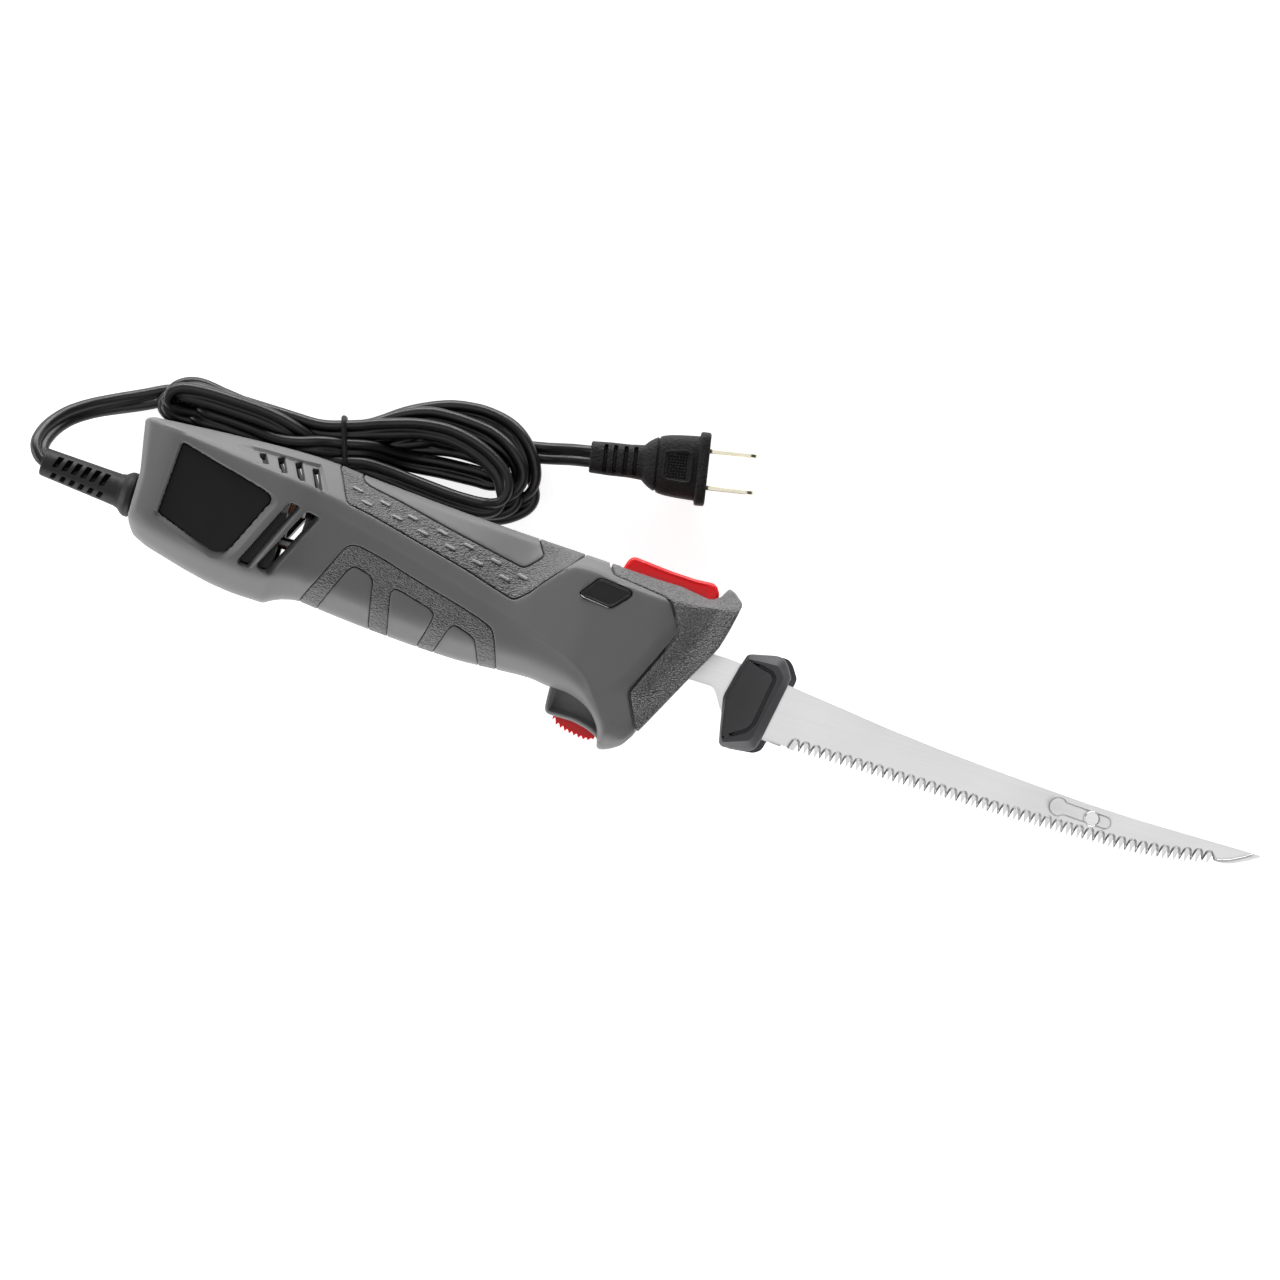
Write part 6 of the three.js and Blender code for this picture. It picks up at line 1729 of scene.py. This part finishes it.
def make_blade(side):
    teeth = blade_outline()
    spine = resample(fillet(np.array(SPINE) * K, 6.0, 5, closed=False), 1.2, False)
    point = resample(fillet(np.array(POINT) * K, 1.0, 5, closed=False), 0.5, False)
    tooth = resample(teeth * K, 0.3, False)
    heel = resample(fillet(np.array(HEEL) * K, 3.0, 6, closed=False), 0.8, False)
    outline = np.vstack([spine, point, tooth, heel])
    cutting = np.vstack([point[2:], tooth, heel[:4]])
    shift = 0.0 if side > 0 else PHASE2
    holes = []
    net = Net(outline)
    net.chain(outline, clip=False)
    if side > 0:
        a, b = np.array([372, -14.2]) * K, np.array([390.8, -14.8]) * K
        key = np.vstack([
            a + 3.0 * np.stack([np.cos(np.radians(np.linspace(40, 320, 30))), np.sin(np.radians(np.linspace(40, 320, 30)))], 1),
            b + 1.9 * np.stack([np.cos(np.radians(np.linspace(-88, 88, 16))), np.sin(np.radians(np.linspace(-88, 88, 16)))], 1),
        ])
        key = resample(key, 0.45)
        holes.append(key)
        net.chain(key)
        net.chain(offset(key, 0.42))
    else:
        hole = circle((385.5 * K - shift, -14.8 * K), 1.6, 24)
        holes.append(hole)
        net.chain(hole)
    notch_u = 173.4 - PHASE2 / 2 if side > 0 else 173.4 + PHASE2 / 2 - shift
    notch = np.array([[notch_u, -11.5], [notch_u + 4.2, -11.5], [notch_u + 4.2, -6.83], [notch_u, -6.83]])
    holes.append(notch)
    net.chain(resample(notch, 0.8))
    for d in (0.36, 0.72, 0.8, 1.2):
        ring = offset(outline, -d)
        dd, _ = segment_distance(ring, cutting, False, 4)
        ok = dd > d - 0.12
        runs = np.split(np.arange(len(ring)), np.nonzero(np.diff(ok.astype(int)))[0] + 1)
        for r in runs:
            if len(r) > 2 and ok[r[0]] and ring[r, 1].max() < 0:
                sel = ring[r]
                near, _ = segment_distance(sel, cutting, False, 4)
                sel = sel[near < d + 0.3]
                if len(sel) > 2:
                    gap = np.linalg.norm(np.diff(sel, axis=0), axis=1)
                    net.e += [(net.n + i, net.n + i + 1) for i in np.nonzero(gap < 0.6)[0]]
                    net.p.append(sel)
                    net.n += len(sel)
    for d in (0.69, 0.8, 0.95, 1.1, 1.21):
        ring = offset(np.vstack([spine[-3:], point]), -d, False)
        net.chain(ring[inside(outline, ring)], closed=False)
    net.fill(0.75, 0.4, where=lambda p: segment_distance(p, cutting, False, 3)[0] < 2.6)
    net.fill(2.4, 1.0)
    q, tris = net.triangles(holes)
    d, _ = segment_distance(q, cutting, False, 4)
    thick = 1.1 - 0.37 * (1 - np.clip(d / 0.72, 0, 1))
    low, _ = segment_distance(q, heel, False, 1)
    thick = thick - 0.14 * (1 - np.clip(low / 0.32, 0, 1))
    edge, _ = segment_distance(q, outline, True, 1)
    thick = thick - np.where(d > 0.6, 0.08 * (1 - np.clip(edge / 0.25, 0, 1)), 0.0)
    # a narrow ground flat along the tip's edge, behind a fine line
    tip, _ = segment_distance(q, point, False, 3)
    thick = np.where(tip < 0.8, np.maximum(thick, 1.02 - 0.1 * (1 - np.clip(tip / 0.8, 0, 1))), thick)
    thick = thick - np.where(tip < 1.4, 0.12 * smooth((0.26 - np.abs(tip - 0.95)) / 0.16), 0.0)
    for hh in holes[:1]:
        e, _ = segment_distance(q, hh, True, 1)
        thick = thick - 0.17 * (1 - np.clip(e / 0.42, 0, 1))
    outer = np.column_stack([q[:, 0] + shift, q[:, 1], 0.12 + thick])
    inner = np.column_stack([q[:, 0] + shift, q[:, 1], np.full(len(q), 0.12)])
    v, f = close_shell(outer, inner, tris)
    tag = "right" if side > 0 else "left"
    return piece(f"{tag}_blade", v, f, M_BLADE, f"{tag}_blade_set", (f"blade_{tag}",), sharp=24, mirror=side < 0)


def make_rivet():
    c = (385.5 * K, -14.8 * K)
    parts = [relief(circle(c, 2.65, 48), (0.06, 0.2, 0.42), 0.5, lambda d: 2.5 - lip(d, 0.42), 1.55), slab(circle(c, 1.3, 28), [(0, -2.0), (0, 2.0)])]
    v, f = slab(circle(c, 2.4, 40), [(0.0, 1.55), (0.0, 2.0), (0.3, 2.3), (1.2, 2.32)])
    parts.append((v * [1, 1, -1], [g[::-1] for g in f]))
    v, f = join_lists(parts)
    return piece("tip_stud", v, f, M_EDGE, "left_blade_set", ("tip_rivet",), sharp=30)


GUARD_TOP = S([[242.5, 4.5], [254.3, 5.2], [257.7, 1.5], [252.8, -23.9], [251.8, -25.3], [242.5, -28.8], [241.3, -26.3], [238.8, -12.2]])
GUARD_GROOVE = S([[243.9, 3.8], [253, 2], [254.6, 0], [251.9, -19], [250.4, -21.5], [242.3, -26.6]])


def make_guard(side):
    out = resample(fillet(GUARD, 1.2, 6), 0.45)
    top = resample(fillet(GUARD_TOP, 1.0, 6), 0.45)
    groove = resample(fillet(GUARD_GROOVE, 1.6, 6, closed=False), 0.4, False)
    net = Net(out)
    net.chain(out, clip=False)
    for d in (0.12, 0.35, 0.7):
        net.chain(offset(out, -d))
    for d in (0.0, -0.25, -0.6):
        net.chain(offset(top, d))
    for d in (0.72, 0.45, -0.45, -0.72):
        net.chain(offset(groove, d, False), closed=False)
    net.fill(0.8, 0.36)
    q, tris = net.triangles()
    d_out, _ = segment_distance(q, out)
    d_top, _ = segment_distance(q, top)
    on = inside(top, q)
    slope = np.where(on, 1.0, d_out / np.maximum(d_out + d_top, 1e-6))
    h = 3.7 + 2.95 * slope
    h += 0.15 * np.where(on, smooth(d_top / 0.7), 0)
    h -= 0.8 * lip(d_out, 0.7) / 0.7
    dg, k = segment_distance(q, groove, False)
    along = k / max(1, len(groove) - 2)
    width = 0.62 * np.clip(np.minimum(along, 1 - along) / 0.09, 0.3, 1)
    h -= 0.9 * smooth((width + 0.12 - dg) / 0.26)
    shift = 0.0 if side > 0 else PHASE2
    outer = np.column_stack([q[:, 0] + shift, q[:, 1], h])
    inner = np.column_stack([q[:, 0] + shift, q[:, 1], np.full(len(q), 1.52)])
    v, f = close_shell(outer, inner, tris)
    tag = "right" if side > 0 else "left"
    return piece(f"{tag}_guard", v, f, M_GUARD, f"{tag}_blade_set", (f"guard_{tag}",), sharp=28, mirror=side < 0)


for s in (1, -1):
    make_blade(s)
    make_guard(s)
make_rivet()

# ------------------------------------------------------------------ works inside the handle keep their CAD shape
FINISH = {
    "grey_plastic": M_GREY, "grip_rubber": M_GRIP, "black_plastic": M_BLACK, "red_plastic": M_RED, "spring_steel": M_SPRING,
    "blade_steel": M_BLADE, "machined_steel": M_MACHINED, "lamination_steel": M_LAMINATION_PAINTED_SHADE, "copper": M_COPPER, "carbon": M_CARBON,
    "bronze": M_BRONZE, "pin_brass": M_PIN, "nylon": M_NYLON, "guard_plastic": M_GUARD, "black_rubber": M_CORD,
}
# the rear bracket and fan are made black in place of their nylon so that the vents look dark inside: painted shade
PAINTED_SHADE_PARTS = {"rear_bracket": M_BLACK, "fan": M_BLACK}
for m in frame["record"]["subparts"]:
    ob = frame["nodes"][m["node"]]
    ob.data.materials.clear()
    ob.data.materials.append(PAINTED_SHADE_PARTS.get(m["node"], FINISH[m["material_slot"]]))


# ------------------------------------------------------------------ floor and light
def make_floor():
    me = bpy.data.meshes.new("floor")
    s = 3.0
    me.from_pydata([(-s, -s, -0.0004), (s, -s, -0.0004), (s, s, -0.0004), (-s, s, -0.0004)], [], [[0, 1, 2, 3]])
    ob = bpy.data.objects.new("floor", me)
    SCENE.collection.objects.link(ob)
    m, nt, b, vec = new_material("floor_paper")
    nt.links.new(ramp(nt, noise(nt, vec, 3.0), (0.93, 0.93, 0.93), (0.95, 0.95, 0.95)), b.inputs["Base Color"])
    b.inputs["Roughness"].default_value = 0.9
    b.inputs["Specular IOR Level"].default_value = 0.1
    b.inputs["Emission Color"].default_value = (1, 1, 1, 1)
    b.inputs["Emission Strength"].default_value = 0.86
    me.materials.append(m)


def area(name, at, aim, size, power, size_y=None):
    d = bpy.data.lights.new(name, "AREA")
    d.energy = power
    d.shape = "RECTANGLE"
    d.size, d.size_y = size, size_y or size
    ob = bpy.data.objects.new(name, d)
    SCENE.collection.objects.link(ob)
    ob.location = at
    ob.rotation_euler = (Vector(aim) - Vector(at)).to_track_quat("-Z", "Y").to_euler()
    return ob


make_floor()
up = Vector((-SIN, COS, 0.0))
across = Vector((COS, SIN, 0.0))
area("key", up * 1.9 + Vector((0, 0, 0.40)), (0, 0, 0.03), 2.4, 50, 0.6)
area("rim", -up * 1.9 + Vector((0, 0, 0.38)), (0, 0, 0.03), 2.4, 32, 0.5)
area("left", -across * 1.7 + Vector((0, 0, 0.4)), (0, 0, 0.03), 1.6, 15, 0.6)
sky = area("overhead", Vector((0, 0, 3.4)), (0, 0, 0), 3.4, 33, 3.4)
sky.visible_diffuse = False
world_ = bpy.data.worlds.new("studio")
world_.use_nodes = True
bg = next(n for n in world_.node_tree.nodes if n.type == "BACKGROUND")
bg.inputs["Color"].default_value = (1, 1, 1, 1)
bg.inputs["Strength"].default_value = 0.05
SCENE.world = world_
SCENE.view_settings.view_transform = "Standard"
